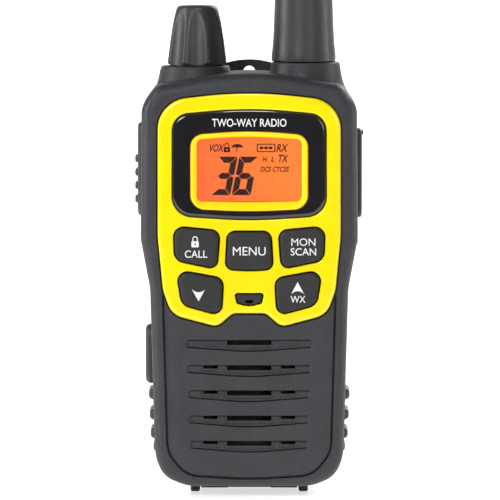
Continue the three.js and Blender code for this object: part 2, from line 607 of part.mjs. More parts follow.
function beltClip() {
  const { pivotY, pivotZ, width, thick, top, bottom } = CLIP;
  const line = [
    [CLIP_BACK_Y - thick / 2, top], [19.3, 104], [19.2, 90.5], [16.2, 80], [12.8, 68], [12.5, 65.4],
    [14, bottom]];
  const profile = bar(strip(line, thick), -width / 2, width / 2);
  const front = [
    [width / 2 - 1.5, bottom - 1, 5], [width / 2, 80, 20], [width / 2, 110.2, 6], [0, top + 1.2, 30]];
  const plate = profile.intersect(slab(outline(mirrored(front)), 0, 40));
  const lug = (side) => {
    const x0 = side > 0 ? 4.4 : -8.2;
    return box(x0, x0 + 3.8, pivotY, 18.8, pivotZ - EAR.radius, pivotZ + EAR.radius)
      .add(rodX(EAR.radius, x0, x0 + 3.8, pivotY, pivotZ));
  };
  return plate.add(bothSides(lug))
    .subtract(rodX(PIN_RADIUS + 0.25, -EAR.outer - 1, EAR.outer + 1, pivotY, pivotZ))
    .subtract(rodY(1.6, 0, 40, 0, 110.2));
}

// A torsion spring round the pin, one leg behind the bracket's face and one behind the clip.
function clipSpring() {
  const { pivotY, pivotZ } = CLIP;
  const coil = new Helix(1.75, 4.5, 6);
  const winding = wire(coil, 0.4, 32, 4).rotateY(Math.PI / 2).translate(-3, pivotY, pivotZ);
  return solid(winding);
}

// ---- Side controls ----
const TALK_RIB_HEIGHTS = [77.4, 81, 84.5, 88.1];
const TALK_PLATE_X = -29.5;
const TALK_FLANGE_TOP = 95.7; // below the upper screw boss, which the flange passes when pressed

function talkButton() {
  const block = sideBlock(TALK, TALK_PLATE_X, -25, 0, 2);
  const held = { ...TALK, width: TALK.width + 2.4, bottom: TALK.bottom - 1.2, top: TALK_FLANGE_TOP };
  const flange = sideBlock(held, -26, -25);
  const { y, width } = TALK;
  const ribs = TALK_RIB_HEIGHTS.map((z) => {
    const corners = [[-28, z - 1.5], [-28, z + 1.5], [-SIDE_X, z + 0.3], [-SIDE_X, z - 0.3]];
    const points = corners.map(([a, b]) => new THREE.Vector2(a, b));
    return slab(points, y - width / 2 + 0.8, y + width / 2 - 0.8);
  });
  return joined(block, flange, ...ribs);
}

function jackCover() {
  const { y, width, top } = JACK;
  const plate = sideBlock(JACK, JACK_FLOOR_X + 0.15, 29.8, 0, 2);
  const tab = box(29, SIDE_X, y - width / 2 + 2, y + width / 2 - 2, top - 1.6, top - 0.4);
  const plugs = JACK_PLUGS.map(([z, radius]) => rodX(radius, 25.8, 28, y, z));
  return joined(plate, tab, ...plugs);
}

function chargeCover() {
  const plate = sideBlock(CHARGE, -27.4, CHARGE_FLOOR_X - 0.15, 0, 3);
  const plug = sideBlock({ ...CHARGE_PORT, width: 2.6, bottom: 33.6, top: 39.6 }, -25.5, -24, 0, 1);
  return plate.add(plug);
}

function headsetJack(z, half, bore) {
  return box(17.2, 25.6, JACK.y - half, JACK.y + half, z - half, z + half)
    .subtract(rodX(bore, 18.2, 27, JACK.y, z));
}

// ---- Assembly ----
const HEAD = { radius: 2, front: BOSS.seat + 0.15, back: 9, shank: 1, tip: -14.8 };

function housingScrew(x, z) {
  const { radius, front, back, shank, tip } = HEAD;
  const screw = turnedY([
    [0, tip], [shank, tip + 0.6], [shank, front], [radius, front], [radius, back - 0.3],
    [radius - 0.4, back], [0, back],
  ], x, z, 12);
  return screw.subtract(box(x - 1.3, x + 1.3, back - 0.7, back + 1, z - 0.25, z + 0.25))
    .subtract(box(x - 0.25, x + 0.25, back - 0.7, back + 1, z - 1.3, z + 1.3));
}

add("front_housing", frontHousing(), CASING);
add("rear_housing", rearHousing(), CASING);
add("side_grip_left", sideGrip(-1), RUBBER);
add("side_grip_right", sideGrip(1), RUBBER);
SCREWS.forEach(([x, z], i) => {
  const level = i === 0 ? "upper" : "lower";
  add(`housing_screw_${level}_left`, housingScrew(-x, z), STEEL);
  add(`housing_screw_${level}_right`, housingScrew(x, z), STEEL);
});

add("yellow_bezel", yellowBezel(), YELLOW);
add("display_panel",
  slab(outline(mirrored(LENS)), TRIM_Y - 0.1, DISPLAY_BACK_Y, 0.4)
    .subtract(slab(outline(mirrored(RING), -0.1), -40, 0)), GLOSS_BLACK);
add("window_ring",
  slab(outline(mirrored(RING)), TRIM_Y - 0.3, DISPLAY_BACK_Y, 0.2)
    .subtract(slab(outline(mirrored(WINDOW), -0.1), -40, 0)), YELLOW);
add("display_window", slab(outline(mirrored(WINDOW)), TRIM_Y + 0.4, DISPLAY_BACK_Y - 0.1), CLEAR);
add("lcd_panel", box(-LCD.x, LCD.x, LCD.front, LCD.back, LCD.bottom, LCD.top), DISPLAY);
add("backlight_tray", box(
  -LCD.x - 0.4, LCD.x + 0.4, LCD.back + 0.15, BOARD_Y - 0.15, LCD.bottom - 0.4, LCD.top + 0.4,
), WHITE_PLASTIC);
for (const [name, corners] of Object.entries(keys)) add(name, key(corners), SOFT_KEY);
add("keypad_mat",
  box(-KEY_MAT.x, KEY_MAT.x, KEY_MAT.front, KEY_MAT.back, KEY_MAT.bottom, KEY_MAT.top)
    .subtract(box(-4, 4, -40, 0, 40, 54.6)), RUBBER);
add("mic_inset",
  slab(outline(mirrored(MIC), KEY_CAP_INSET), TRIM_Y, FRONT_INSIDE_Y, 0.2)
    .subtract(box(-1, 1, -40, 0, MIC_PORT.z - 0.4, MIC_PORT.z + 0.4)), BLACK_PLASTIC);
add("mic_boot", micBoot(), RUBBER);
add("mic_capsule", rodY(1.95, -15.7, BOARD_Y - 0.3, 0, MIC_PORT.z), NICKEL);
add("grille_panel", grillePanel(), CASING);

add("speaker_gasket", turnedY([
  [14.2, -16.85], [SPEAKER.radius, -16.85], [SPEAKER.radius, -16.25], [14.2, -16.25], [14.2, -16.85],
], 0, SPEAKER.z, 18), RUBBER);
add("speaker_frame", speakerFrame(), STEEL);
add("speaker_cone", speakerCone(), CONE_PAPER);
add("speaker_magnet", rodY(8, -10.1, -6.4, 0, SPEAKER.z, 20), NICKEL);

const upperBosses = bothSides((side) => rodY(BOSS.radius + 0.4, -40, 0, side * SCREWS[0][0], SCREWS[0][1]));
add("main_board",
  slab(body(3.2), BOARD_Y, BOARD_BACK_Y).intersect(box(-40, 40, -40, 0, 45.5, 103.5))
    .subtract(upperBosses), BOARD);
add("shield_can", box(-12.5, 12.5, BOARD_BACK_Y + 0.15, -9, 62, 96), NICKEL);

add("volume_control", potBody(), BLACK_PLASTIC);
add("volume_shaft", potShaft(), STEEL);
add("volume_nut",
  rod(NUT.radius, NUT.bottom, NUT.top, KNOB.x, KNOB.y, 6)
    .subtract(rod(POT.bushing + GAP, 100, 120, KNOB.x, KNOB.y)), STEEL);
add("volume_knob", volumeKnob(), CASING);

add("antenna_base", antennaBase(), NICKEL);
add("antenna_coil", helix(ANTENNA.x, ANTENNA.y, FERRULE.top + 0.6, 2.3, 11, 34, 0.4), COPPER);
add("antenna_sheath", antennaSheath(), RUBBER);

["left", "middle", "right"].forEach((place, i) => {
  add(`cell_${place}`, cell((i - 1) * CELL.pitch, i === 1 ? -1 : 1), CELL_WRAP);
});
const { pitch } = CELL;
add("contact_minus", contact(-pitch, -pitch, false, -pitch, null), NICKEL);
add("contact_link_lower", contact(0, pitch, false, pitch, 0), NICKEL);
add("contact_link_upper", contact(-pitch, 0, true, 0, -pitch), NICKEL);
add("contact_plus", contact(pitch, pitch, true, null, pitch), NICKEL);
add("battery_door", batteryDoor(), CASING);
add("battery_latch", batteryLatch(), BLACK_PLASTIC);

add("clip_bracket", clipBracket(), BLACK_PLASTIC);
add("belt_clip", beltClip(), BLACK_PLASTIC);
add("clip_pin", rodX(PIN_RADIUS, -EAR.outer - 0.2, EAR.outer + 0.2, CLIP.pivotY, CLIP.pivotZ), STEEL);
add("clip_spring", clipSpring(), STEEL);

add("talk_button", talkButton(), RUBBER);
add("talk_switch", box(-23.7, -20.7, BOARD_BACK_Y + 0.15, 0, 82, 88), BLACK_PLASTIC);
add("jack_cover", jackCover(), RUBBER);
add("jack_cover_tether", sideBlock(TETHER, JACK_FLOOR_X + 0.15, 28.8, 0, 1), RUBBER);
add("headset_jack", headsetJack(JACK_PLUGS[0][0], 3.4, 1.8), BLACK_PLASTIC);
add("microphone_jack", headsetJack(JACK_PLUGS[1][0], 3, 1.3), BLACK_PLASTIC);
add("charge_cover", chargeCover(), RUBBER);
add("charge_connector",
  box(-23.9, -19.8, CHARGE.y - 1.5, CHARGE.y + 1.5, 32.6, 40.6).subtract(
    box(-25, -20.4, CHARGE.y - 0.9, CHARGE.y + 0.9, 33.3, 39.9)), NICKEL);

export default radio;
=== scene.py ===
# A handheld two-way radio: its looks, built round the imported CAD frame.
# Shapes are written in millimetres and stored in metres. X runs to the antenna side, Y to the clip, Z up.
import math

import bmesh
import bpy
from mathutils import Matrix, Vector


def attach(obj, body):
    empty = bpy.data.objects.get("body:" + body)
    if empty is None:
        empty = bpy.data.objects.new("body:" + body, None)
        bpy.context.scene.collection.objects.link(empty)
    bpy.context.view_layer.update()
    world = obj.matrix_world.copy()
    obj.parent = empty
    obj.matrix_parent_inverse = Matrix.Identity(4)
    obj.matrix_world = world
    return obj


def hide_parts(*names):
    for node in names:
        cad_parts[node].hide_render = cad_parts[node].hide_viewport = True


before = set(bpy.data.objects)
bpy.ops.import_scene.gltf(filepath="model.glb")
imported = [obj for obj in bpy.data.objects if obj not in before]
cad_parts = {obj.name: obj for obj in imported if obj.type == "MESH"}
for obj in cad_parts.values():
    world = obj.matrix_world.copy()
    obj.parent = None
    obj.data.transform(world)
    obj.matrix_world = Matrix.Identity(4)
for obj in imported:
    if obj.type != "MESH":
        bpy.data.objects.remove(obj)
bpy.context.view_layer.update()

MM = 0.001

# ---- Driving dimensions, in millimetres ----
FACE_Y = -19.5       # front face of the front housing
SEAM_Y = -11.0       # where the two housings meet
REAR_Y = 9.5         # back of the rear housing and of the battery door
TRIM_Y = -19.8       # front of the bezel, the display panel and the grille
POCKET_Y = -18.0     # floor of the pockets in the front face
INSIDE_Y = -17.0     # inner face of the front wall
KEY_TOP_Y = -20.5    # front of the keys
WALL = 2.0
GAP = 0.3
GROOVE = 0.4
BASE_Z = 2.2
EDGE = (3.0, 3.5)    # width and depth of the rounding along the outer edges, front and back

# Right halves of the front-view outlines, upwards, as (x, z, corner radius); x = 0 closes on the axis.
BODY = [(16.5, BASE_Z, 14), (22.7, 4.9, 8), (24.8, 10.2, 12), (26.1, 54.5, 25), (28.6, 67.6, 10),
        (28.3, 102.6, 6.5), (24.3, 108, 4.2), (0, 112.2, 70)]
BEZEL = [(4.3, 48.15, 2.5), (8.4, 44.6, 3), (20.3, 47.75, 5.5), (22.65, 54.2, 9), (24.05, 68.5, 30),
         (24.0, 103.9, 8.3), (0, 106.6, 120)]
PANEL = [(0, 4.5, 100), (16.6, 5.5, 7.5), (21.4, 11.5, 8), (22.6, 54, 2)]
LENS = [(0, 72.65, 120), (20.15, 74, 5.3), (20.05, 100.25, 4.4), (0, 102.05, 120)]
RING = [(0, 74.95, 150), (15.35, 75.7, 3.8), (15.35, 95.05, 3.4), (0, 96.2, 120)]
WINDOW = [(0, 77.2, 200), (13.9, 77.5, 1.6), (13.9, 94, 1.6), (0, 94.95, 150)]
KEY_MENU = [(0, 59.4, 60), (6.25, 59.8, 2), (5.7, 69.75, 2.2)]
KEY_OUTER = [(8.45, 59.85, 2), (19.6, 62.15, 2.9), (19.85, 71.1, 2.6), (7.65, 69.95, 2.4)]
KEY_ARROW = [(7.3, 47.55, 2.2), (17.65, 50.45, 3.1), (19.2, 59.65, 2.5), (6.75, 57.4, 2.5)]
MIC = [(0, 50.1, 8), (3.15, 50.9, 0.5), (3.7, 53.35, 0.5)]
KEY_GAP = 0.2        # between the outlines of the keys and the edges of their holes
CAP_INSET = 0.15     # of the caps from those outlines
CORNER_STEPS = 12
MARK_THICK = 0.06


# ---- Outlines ----
def mirrored(half):
    """The whole anticlockwise outline from its right half."""
    return half + [(-x, z, r) for x, z, r in reversed(half) if x > 0]


def flipped(corners):
    return [(-x, z, r) for x, z, r in reversed(corners)]


def outline(corners, inset=0.0):
    """Points of an anticlockwise outline moved inwards by inset, with its corners rounded."""
    spots = [Vector(corner[:2]) for corner in corners]
    count = len(spots)

    def inward(a, b):
        along = (b - a).normalized()
        return Vector((-along.y, along.x))

    moved = []
    for i, spot in enumerate(spots):
        before, after = inward(spots[i - 1], spot), inward(spot, spots[(i + 1) % count])
        moved.append(spot + (before + after) * (inset / (1 + before.dot(after))))
    points = []
    for i, spot in enumerate(moved):
        before, after = spot - moved[i - 1], moved[(i + 1) % count] - spot
        room = 0.49 * min(before.length, after.length)
        before.normalize()
        after.normalize()
        turn = math.atan2(before.x * after.y - before.y * after.x, before.dot(after))
        half_tan = math.tan(abs(turn) / 2)
        wanted = max(corners[i][2] - inset * math.copysign(1, turn), 0.05)
        reach = min(wanted * half_tan, room)
        start = spot - before * reach
        centre = start + Vector((-before.y, before.x)) * math.copysign(reach / half_tan, turn)
        arm = start - centre
        for k in range(CORNER_STEPS + 1):
            angle = turn * k / CORNER_STEPS
            points.append((centre.x + arm.x * math.cos(angle) - arm.y * math.sin(angle),
                           centre.y + arm.x * math.sin(angle) + arm.y * math.cos(angle)))
    return points


def rectangle(a0, a1, b0, b1, radius):
    return [(a1, b0, radius), (a1, b1, radius), (a0, b1, radius), (a0, b0, radius)]


def circle(a, b, radius, sides=48):
    turn = 2 * math.pi / sides
    return [(a + radius * math.cos(i * turn), b + radius * math.sin(i * turn)) for i in range(sides)]


# ---- Views: where an outline's two numbers and its depth go ----
def front(a, b, depth):
    return (a, depth, b)


def side(a, b, depth):
    return (depth, a, b)


def top(a, b, depth):
    return (a, b, depth)


# ---- Solids ----
def quarter_turn(steps):
    """The angles that cut a right angle into that many steps."""
    return [math.radians(90) * k / steps for k in range(steps + 1)]


def new_object(name, bm):
    """A linked object from a bmesh in millimetres."""
    bmesh.ops.recalc_face_normals(bm, faces=bm.faces[:])
    bmesh.ops.scale(bm, vec=(MM, MM, MM), verts=bm.verts[:])
    mesh = bpy.data.meshes.new(name)
    bm.to_mesh(mesh)
    bm.free()
    obj = bpy.data.objects.new(name, mesh)
    bpy.context.scene.collection.objects.link(obj)
    return obj


def skin(name, rings, looped=False):
    """A closed solid over rings of equally many points, capped at both ends or joined end to end."""
    bm = bmesh.new()
    layers = [[bm.verts.new(point) for point in ring] for ring in rings]
    count = len(rings[0])
    pairs = list(zip(layers, layers[1:])) + ([(layers[-1], layers[0])] if looped else [])
    for low, high in pairs:
        for i in range(count):
            j = (i + 1) % count
            bm.faces.new((low[i], low[j], high[j], high[i]))
    if not looped:
        bm.faces.new(layers[0][::-1])
        bm.faces.new(layers[-1])
    return new_object(name, bm)


def rounded(start, end, start_edge=0, end_edge=0, steps=5):
    """Insets and depths of a plate from start to end. An edge is its radius, or its width and depth."""
    pairs = []
    sign = math.copysign(1, end - start)
    for place, edge, way, order in ((start, start_edge, sign, 1), (end, end_edge, -sign, -1)):
        width, deep = edge if isinstance(edge, tuple) else (edge, edge)
        if width == 0:
            pairs.append((0.0, place))
            continue
        pairs += [(width * (1 - math.sin(a)), place + way * deep * (1 - math.cos(a)))
                  for a in quarter_turn(steps)[::order]]
    return pairs


def plate(name, corners, profile, view=front):
    return skin(name, [[view(a, b, depth) for a, b in outline(corners, inset)] for inset, depth in profile])


def opening(corners, radius):
    """A cutter for a hole through the bezel, with a gap round what fills it and a rounded rim."""
    flare = [(-KEY_GAP - radius * (1 - math.cos(a)), TRIM_Y + radius * (1 - math.sin(a)))
             for a in quarter_turn(5)]
    return plate("cutter", corners, [(-KEY_GAP, 0), *flare, (-KEY_GAP - radius, TRIM_Y - 5)])


def prism(points, low, high, view=front, name="cutter"):
    return skin(name, [[view(a, b, depth) for a, b in points] for depth in (low, high)])


def box(x0, x1, y0, y1, z0, z1, name="cutter"):
    return prism([(x0, y0), (x1, y0), (x1, y1), (x0, y1)], z0, z1, top, name)


def block(a0, a1, b0, b1, radius, low, high, view=front, name="cutter"):
    """A box whose corners are rounded in one view."""
    return prism(outline(rectangle(a0, a1, b0, b1, radius)), low, high, view, name)


def rod(a, b, radius, low, high, view):
    return prism(circle(a, b, radius), low, high, view)


def lathe(name, profile, x, y, sides=96, closed=False, squeeze=None):
    """A solid of revolution about the vertical line at x, y, from (radius, z) points.
    squeeze(radius, z, angle), where given, returns the radius to use there."""
    bm = bmesh.new()
    layers = []
    for radius, z in profile:
        if radius == 0:
            layers.append([bm.verts.new((x, y, z))])
            continue
        ring = []
        for i in range(sides):
            angle = 2 * math.pi * i / sides
            reach = squeeze(radius, z, angle) if squeeze else radius
            ring.append(bm.verts.new((x + reach * math.cos(angle), y + reach * math.sin(angle), z)))
        layers.append(ring)
    pairs = list(zip(layers, layers[1:])) + ([(layers[-1], layers[0])] if closed else [])
    for low, high in pairs:
        for i in range(sides):
            j = (i + 1) % sides
            corners = (low[i % len(low)], low[j % len(low)], high[j % len(high)], high[i % len(high)])
            face = list(dict.fromkeys(corners))
            if len(face) > 2:
                bm.faces.new(face)
    return new_object(name, bm)


def turn_to_y(obj, x, z):
    """Stands a lathed solid made about the Z axis along Y at x, z, its heights becoming depths."""
    obj.data.transform(Matrix(((1, 0, 0, x * MM), (0, 0, 1, 0), (0, -1, 0, z * MM), (0, 0, 0, 1))))
    return obj


def winding(turns, steps, spot):
    """Points of a coil, each from its share of the way along and its angle."""
    return [spot(k / steps, 2 * math.pi * turns * k / steps) for k in range(steps + 1)]


def tube(name, points, radius):
    """A round wire through points, closed at its ends."""
    curve = bpy.data.curves.new(name, "CURVE")
    curve.dimensions = "3D"
    curve.bevel_depth = radius * MM
    curve.bevel_resolution = 3
    curve.use_fill_caps = True
    spline = curve.splines.new("POLY")
    spline.points.add(len(points) - 1)
    for spot, point in zip(spline.points, points):
        spot.co = (*[value * MM for value in point], 1)
    return meshed(name, curve)


def meshed(name, curve):
    """A mesh object from a curve or text, which is then removed."""
    holder = bpy.data.objects.new("holder", curve)
    bpy.context.scene.collection.objects.link(holder)
    bpy.context.view_layer.update()
    mesh = bpy.data.meshes.new_from_object(holder.evaluated_get(bpy.context.evaluated_depsgraph_get()))
    bpy.data.objects.remove(holder)
    bpy.data.curves.remove(curve)
    mesh.name = name
    mesh.materials.clear()
    bm = bmesh.new()
    bm.from_mesh(mesh)
    bmesh.ops.remove_doubles(bm, verts=bm.verts[:], dist=1e-7)
    bmesh.ops.recalc_face_normals(bm, faces=bm.faces[:])
    bm.to_mesh(mesh)
    bm.free()
    obj = bpy.data.objects.new(name, mesh)
    bpy.context.scene.collection.objects.link(obj)
    return obj


def apply_modifiers(obj):
    bpy.context.view_layer.update()
    mesh = bpy.data.meshes.new_from_object(obj.evaluated_get(bpy.context.evaluated_depsgraph_get()))
    obj.modifiers.clear()
    old, obj.data = obj.data, mesh
    bpy.data.meshes.remove(old)
    mesh.name = obj.name


def combine(target, operation, pieces):
    for piece in pieces:
        modifier = target.modifiers.new("combine", "BOOLEAN")
        modifier.operation = operation
        modifier.solver = "MANIFOLD"
        modifier.object = piece
        apply_modifiers(target)
        bpy.data.objects.remove(piece)
    return target


def cut(target, *pieces):
    return combine(target, "DIFFERENCE", pieces)


def join(target, *pieces):
    return combine(target, "UNION", pieces)


def keep(target, *pieces):
    return combine(target, "INTERSECT", pieces)


def soften(obj, width=0.2, angle=35, segments=2):
    """Small rounded edges wherever faces meet sharply, and smooth shading over the rest."""
    bm = bmesh.new()
    bm.from_mesh(obj.data)
    bmesh.ops.remove_doubles(bm, verts=bm.verts[:], dist=2e-6)
    bmesh.ops.dissolve_degenerate(bm, edges=bm.edges[:], dist=2e-6)
    bm.to_mesh(obj.data)
    bm.free()
    if width:
        modifier = obj.modifiers.new("edges", "BEVEL")
        modifier.width = width * MM
        modifier.segments = segments
        modifier.limit_method = "ANGLE"
        modifier.angle_limit = math.radians(angle)
        modifier.use_clamp_overlap = True
        modifier.miter_outer = "MITER_ARC"
        apply_modifiers(obj)
    return smooth(obj)


def smooth(obj, angle=32):
    obj.data.polygons.foreach_set("use_smooth", [True] * len(obj.data.polygons))
    obj.data.set_sharp_from_angle(angle=math.radians(angle))
    weighted = obj.modifiers.new("normals", "WEIGHTED_NORMAL")
    weighted.keep_sharp = True
    weighted.weight = 80
    return obj


# ---- Materials ----
class Look:
    """A procedural material round one Principled shader, laid out in the radio's own coordinates."""

    def __init__(self, name, roughness=0.5, metallic=0.0, specular=0.5, coat=0.0, coat_roughness=0.1):
        self.material = bpy.data.materials.new(name)
        self.material.use_nodes = True
        self.nodes = self.material.node_tree.nodes
        self.links = self.material.node_tree.links
        self.shader = self.nodes["Principled BSDF"]
        self.place = self.nodes.new("ShaderNodeTexCoord").outputs["Object"]
        self.shader.inputs["Roughness"].default_value = roughness
        self.shader.inputs["Metallic"].default_value = metallic
        self.shader.inputs["Specular IOR Level"].default_value = specular
        self.shader.inputs["Coat Weight"].default_value = coat
        self.shader.inputs["Coat Roughness"].default_value = coat_roughness

    def noise(self, size, detail=3.0, stretch=(1, 1, 1)):
        """Noise with features of that many millimetres."""
        mapping = self.nodes.new("ShaderNodeMapping")
        mapping.inputs["Scale"].default_value = stretch
        self.links.new(self.place, mapping.inputs["Vector"])
        texture = self.nodes.new("ShaderNodeTexNoise")
        texture.inputs["Scale"].default_value = 1 / (size * MM)
        texture.inputs["Detail"].default_value = detail
        self.links.new(mapping.outputs["Vector"], texture.inputs["Vector"])
        return texture.outputs["Fac"]

    def cells(self, size):
        texture = self.nodes.new("ShaderNodeTexVoronoi")
        texture.inputs["Scale"].default_value = 1 / (size * MM)
        self.links.new(self.place, texture.inputs["Vector"])
        return texture.outputs["Distance"]

    def along(self, axis):
        """The place along X, Y or Z, in metres."""
        split = self.nodes.new("ShaderNodeSeparateXYZ")
        self.links.new(self.place, split.inputs["Vector"])
        return split.outputs[axis]

    def spread(self, value, low, high, from_low=0.3, from_high=0.7):
        """A value from one range carried to another."""
        node = self.nodes.new("ShaderNodeMapRange")
        ends = {"From Min": from_low, "From Max": from_high, "To Min": low, "To Max": high}
        for socket, number in ends.items():
            node.inputs[socket].default_value = number
        self.links.new(value, node.inputs["Value"])
        return node.outputs["Result"]

    def maths(self, operation, a, b):
        node = self.nodes.new("ShaderNodeMath")
        node.operation = operation
        for socket, value in zip(node.inputs, (a, b)):
            if isinstance(value, (int, float)):
                socket.default_value = value
            else:
                self.links.new(value, socket)
        return node.outputs["Value"]

    def blend(self, factor, a, b):
        """Colour a where factor is 0 and b where it is 1; each a colour or a socket."""
        node = self.nodes.new("ShaderNodeMix")
        node.data_type = "RGBA"
        self.links.new(factor, node.inputs["Factor"])
        for socket, value in zip((node.inputs[6], node.inputs[7]), (a, b)):
            if isinstance(value, tuple):
                socket.default_value = (*value, 1)
            else:
                self.links.new(value, socket)
        return node.outputs[2]

    def colour(self, value):
        self.links.new(value, self.shader.inputs["Base Color"])
        return self

    def rough(self, value):
        self.links.new(value, self.shader.inputs["Roughness"])
        return self

    def bump(self, height, depth):
        """Raised grain of that many millimetres, added to any bump already there."""
        node = self.nodes.new("ShaderNodeBump")
        node.inputs["Distance"].default_value = depth * MM
        node.inputs["Strength"].default_value = 1
        self.links.new(height, node.inputs["Height"])
        normal = self.shader.inputs["Normal"]
        if normal.is_linked:
            self.links.new(normal.links[0].from_socket, node.inputs["Normal"])
        self.links.new(node.outputs["Normal"], normal)
        return self


def textured(name, dark, light, rough=(0.45, 0.6), grain=0.35, depth=0.03, specular=0.5, painted_underside_shade=False):
    """Moulded material: mottled colour, uneven roughness, a fine raised grain, and, where asked, painted shade
    that darkens the lowest 2.8 mm of the case, feet and door lip included, to near black.
    """
    look = Look(name, specular=specular)
    broad, fine = look.noise(9, 4), look.noise(grain, 2)
    mottle = look.maths("ADD", look.maths("MULTIPLY", broad, 0.4), look.maths("MULTIPLY", fine, 0.6))
    shade = look.blend(look.spread(mottle, 0, 1), dark, light)
    # painted shade: below 2.8 mm the colour fades to near black, standing in for the shade under the case
    if painted_underside_shade:
        shade = look.blend(look.spread(look.along("Z"), 0, 1, 0.0017, 0.0028), (0.008, 0.008, 0.01), shade)
    look.colour(shade)
    look.rough(look.spread(look.noise(2.5, 5), *rough))
    look.bump(fine, depth)
    look.bump(look.cells(grain * 1.8), depth * 0.7)
    return look.material


def glossy(name, dark, light, rough=(0.08, 0.18), coat=0.6, orange_peel=0.012):
    """Polished moulded plastic: nearly even colour, faint orange peel and fine dust in its gloss."""
    look = Look(name, coat=coat, coat_roughness=0.06)
    look.colour(look.blend(look.spread(look.noise(6, 4), 0, 1), dark, light))
    look.rough(look.spread(look.noise(1.2, 6), *rough))
    look.bump(look.noise(2.2, 1), orange_peel)
    return look.material


def metal(name, dark, light, rough=(0.22, 0.4)):
    look = Look(name, metallic=1.0)
    brushed = look.noise(0.6, 4, (1, 1, 8))
    look.colour(look.blend(look.spread(brushed, 0, 1), dark, light))
    look.rough(look.spread(look.noise(1.5, 5), *rough))
    look.bump(brushed, 0.006)
    return look.material


def display_look():
    """A backlit display: orange that warms to one side, with painted shade as a darker, redder rim along the
    window's edges.
    """
    look = Look("display orange", roughness=0.25, specular=0.2)
    across = look.spread(look.along("X"), 0, 1, -0.0139, 0.0139)
    glow = look.blend(across, (1.0, 0.135, 0.028), (1.0, 0.24, 0.026))
    # painted shade: base and glow turn darker and redder in a 0.5 mm band along the window's edges, standing
    # in for the shade there
    edge_x = look.spread(look.maths("ABSOLUTE", look.along("X"), 0), 0, 0.8, 0.0134, 0.0139)
    height = look.maths("ABSOLUTE", look.maths("SUBTRACT", look.along("Z"), 0.0861), 0)
    edge_z = look.spread(height, 0, 0.8, 0.0083, 0.0088)
    rim = look.maths("MAXIMUM", edge_x, edge_z)
    mottled = look.blend(look.spread(look.noise(5, 3), 0, 0.2), glow, (1.0, 0.28, 0.05))
    tint = look.blend(rim, mottled, (0.9, 0.05, 0.02))
    look.links.new(tint, look.shader.inputs["Emission Color"])
    look.shader.inputs["Emission Strength"].default_value = 0.9
    look.colour(look.blend(rim, (0.2, 0.03, 0.005), (0.12, 0.01, 0.004)))
    look.rough(look.spread(look.noise(2, 4), 0.2, 0.35))
    look.bump(look.noise(0.3, 2), 0.004)
    return look.material


def window_look():
    look = Look("clear window", roughness=0.03, specular=0.5)
    look.shader.inputs["Base Color"].default_value = (0.5, 0.52, 0.55, 1)
    look.shader.inputs["Alpha"].default_value = 0.015
    look.rough(look.spread(look.noise(3, 5), 0.02, 0.06))
    look.bump(look.noise(4, 1), 0.004)
    return look.material


def cell_look():
    """A dry cell's printed sleeve: a coloured shoulder, a dark body and bare metal ends."""
    look = Look("cell sleeve", roughness=0.3, coat=0.5)
    shoulder = look.spread(look.along("Z"), 0, 1, 0.038, 0.0384)
    sleeve = look.blend(shoulder, (0.03, 0.033, 0.04), (0.55, 0.32, 0.08))
    look.colour(look.blend(look.spread(look.noise(4, 4), 0, 0.15), sleeve, (0.3, 0.3, 0.3)))
    look.rough(look.spread(look.noise(1, 5), 0.22, 0.36))
    look.bump(look.noise(0.8, 2), 0.01)
    return look.material


casing = textured("casing", (0.02, 0.02, 0.024), (0.042, 0.042, 0.049), (0.42, 0.55), 0.42, 0.06, 0.4,
                  painted_underside_shade=True)
casing_grip = textured("side grip", (0.03, 0.031, 0.039), (0.048, 0.049, 0.06), (0.36, 0.5), 0.3, 0.02, 0.6)
rubber = textured("rubber", (0.022, 0.022, 0.026), (0.034, 0.034, 0.039), (0.36, 0.48), 0.3, 0.02, 0.55)
key_rubber = textured("key rubber", (0.015, 0.0145, 0.015), (0.024, 0.0235, 0.024), (0.5, 0.62), 0.28, 0.03,
                      0.4)
seal_rubber = textured("seal rubber", (0.01, 0.01, 0.011), (0.02, 0.02, 0.021), (0.6, 0.75), 0.5, 0.03, 0.2)
yellow = glossy("yellow plastic", (0.98, 0.76, 0.0), (1.0, 0.82, 0.0), (0.14, 0.24), 0.35)
gloss_black = glossy("gloss black", (0.006, 0.006, 0.007), (0.01, 0.01, 0.012), (0.06, 0.12), 0.8, 0.004)
black_plastic = textured("black plastic", (0.012, 0.012, 0.013), (0.022, 0.022, 0.024), (0.38, 0.52), 0.35,
                         0.02, 0.45)
legend_white = textured("legend white", (0.78, 0.78, 0.78), (0.88, 0.88, 0.88), (0.4, 0.5), 0.4, 0.004)
display_ink = textured("display ink", (0.02, 0.005, 0.002), (0.03, 0.008, 0.003), (0.3, 0.4), 0.5, 0.002, 0.1)
white_plastic = textured("white plastic", (0.7, 0.7, 0.68), (0.82, 0.82, 0.8), (0.35, 0.5), 0.6, 0.01)
cone_paper = textured("cone paper", (0.07, 0.056, 0.045), (0.11, 0.09, 0.072), (0.75, 0.9), 0.25, 0.05, 0.1)
board_green = textured("board", (0.008, 0.07, 0.03), (0.014, 0.11, 0.045), (0.25, 0.4), 1.2, 0.02)
steel = metal("steel", (0.38, 0.39, 0.41), (0.55, 0.56, 0.58))
nickel = metal("nickel", (0.55, 0.53, 0.48), (0.72, 0.7, 0.64), (0.16, 0.3))
copper = metal("copper", (0.5, 0.22, 0.1), (0.68, 0.34, 0.17))
display_orange = display_look()
clear_window = window_look()
cell_sleeve = cell_look()


def place(obj, look, body="radio", slot=None, nodes=()):
    """Gives a finished piece its material and its body, and hides the CAD nodes that it stands for; slot is
    not used.
    """
    obj.data.materials.clear()
    obj.data.materials.append(look)
    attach(obj, body)
    if nodes:
        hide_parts(*nodes)
    return obj


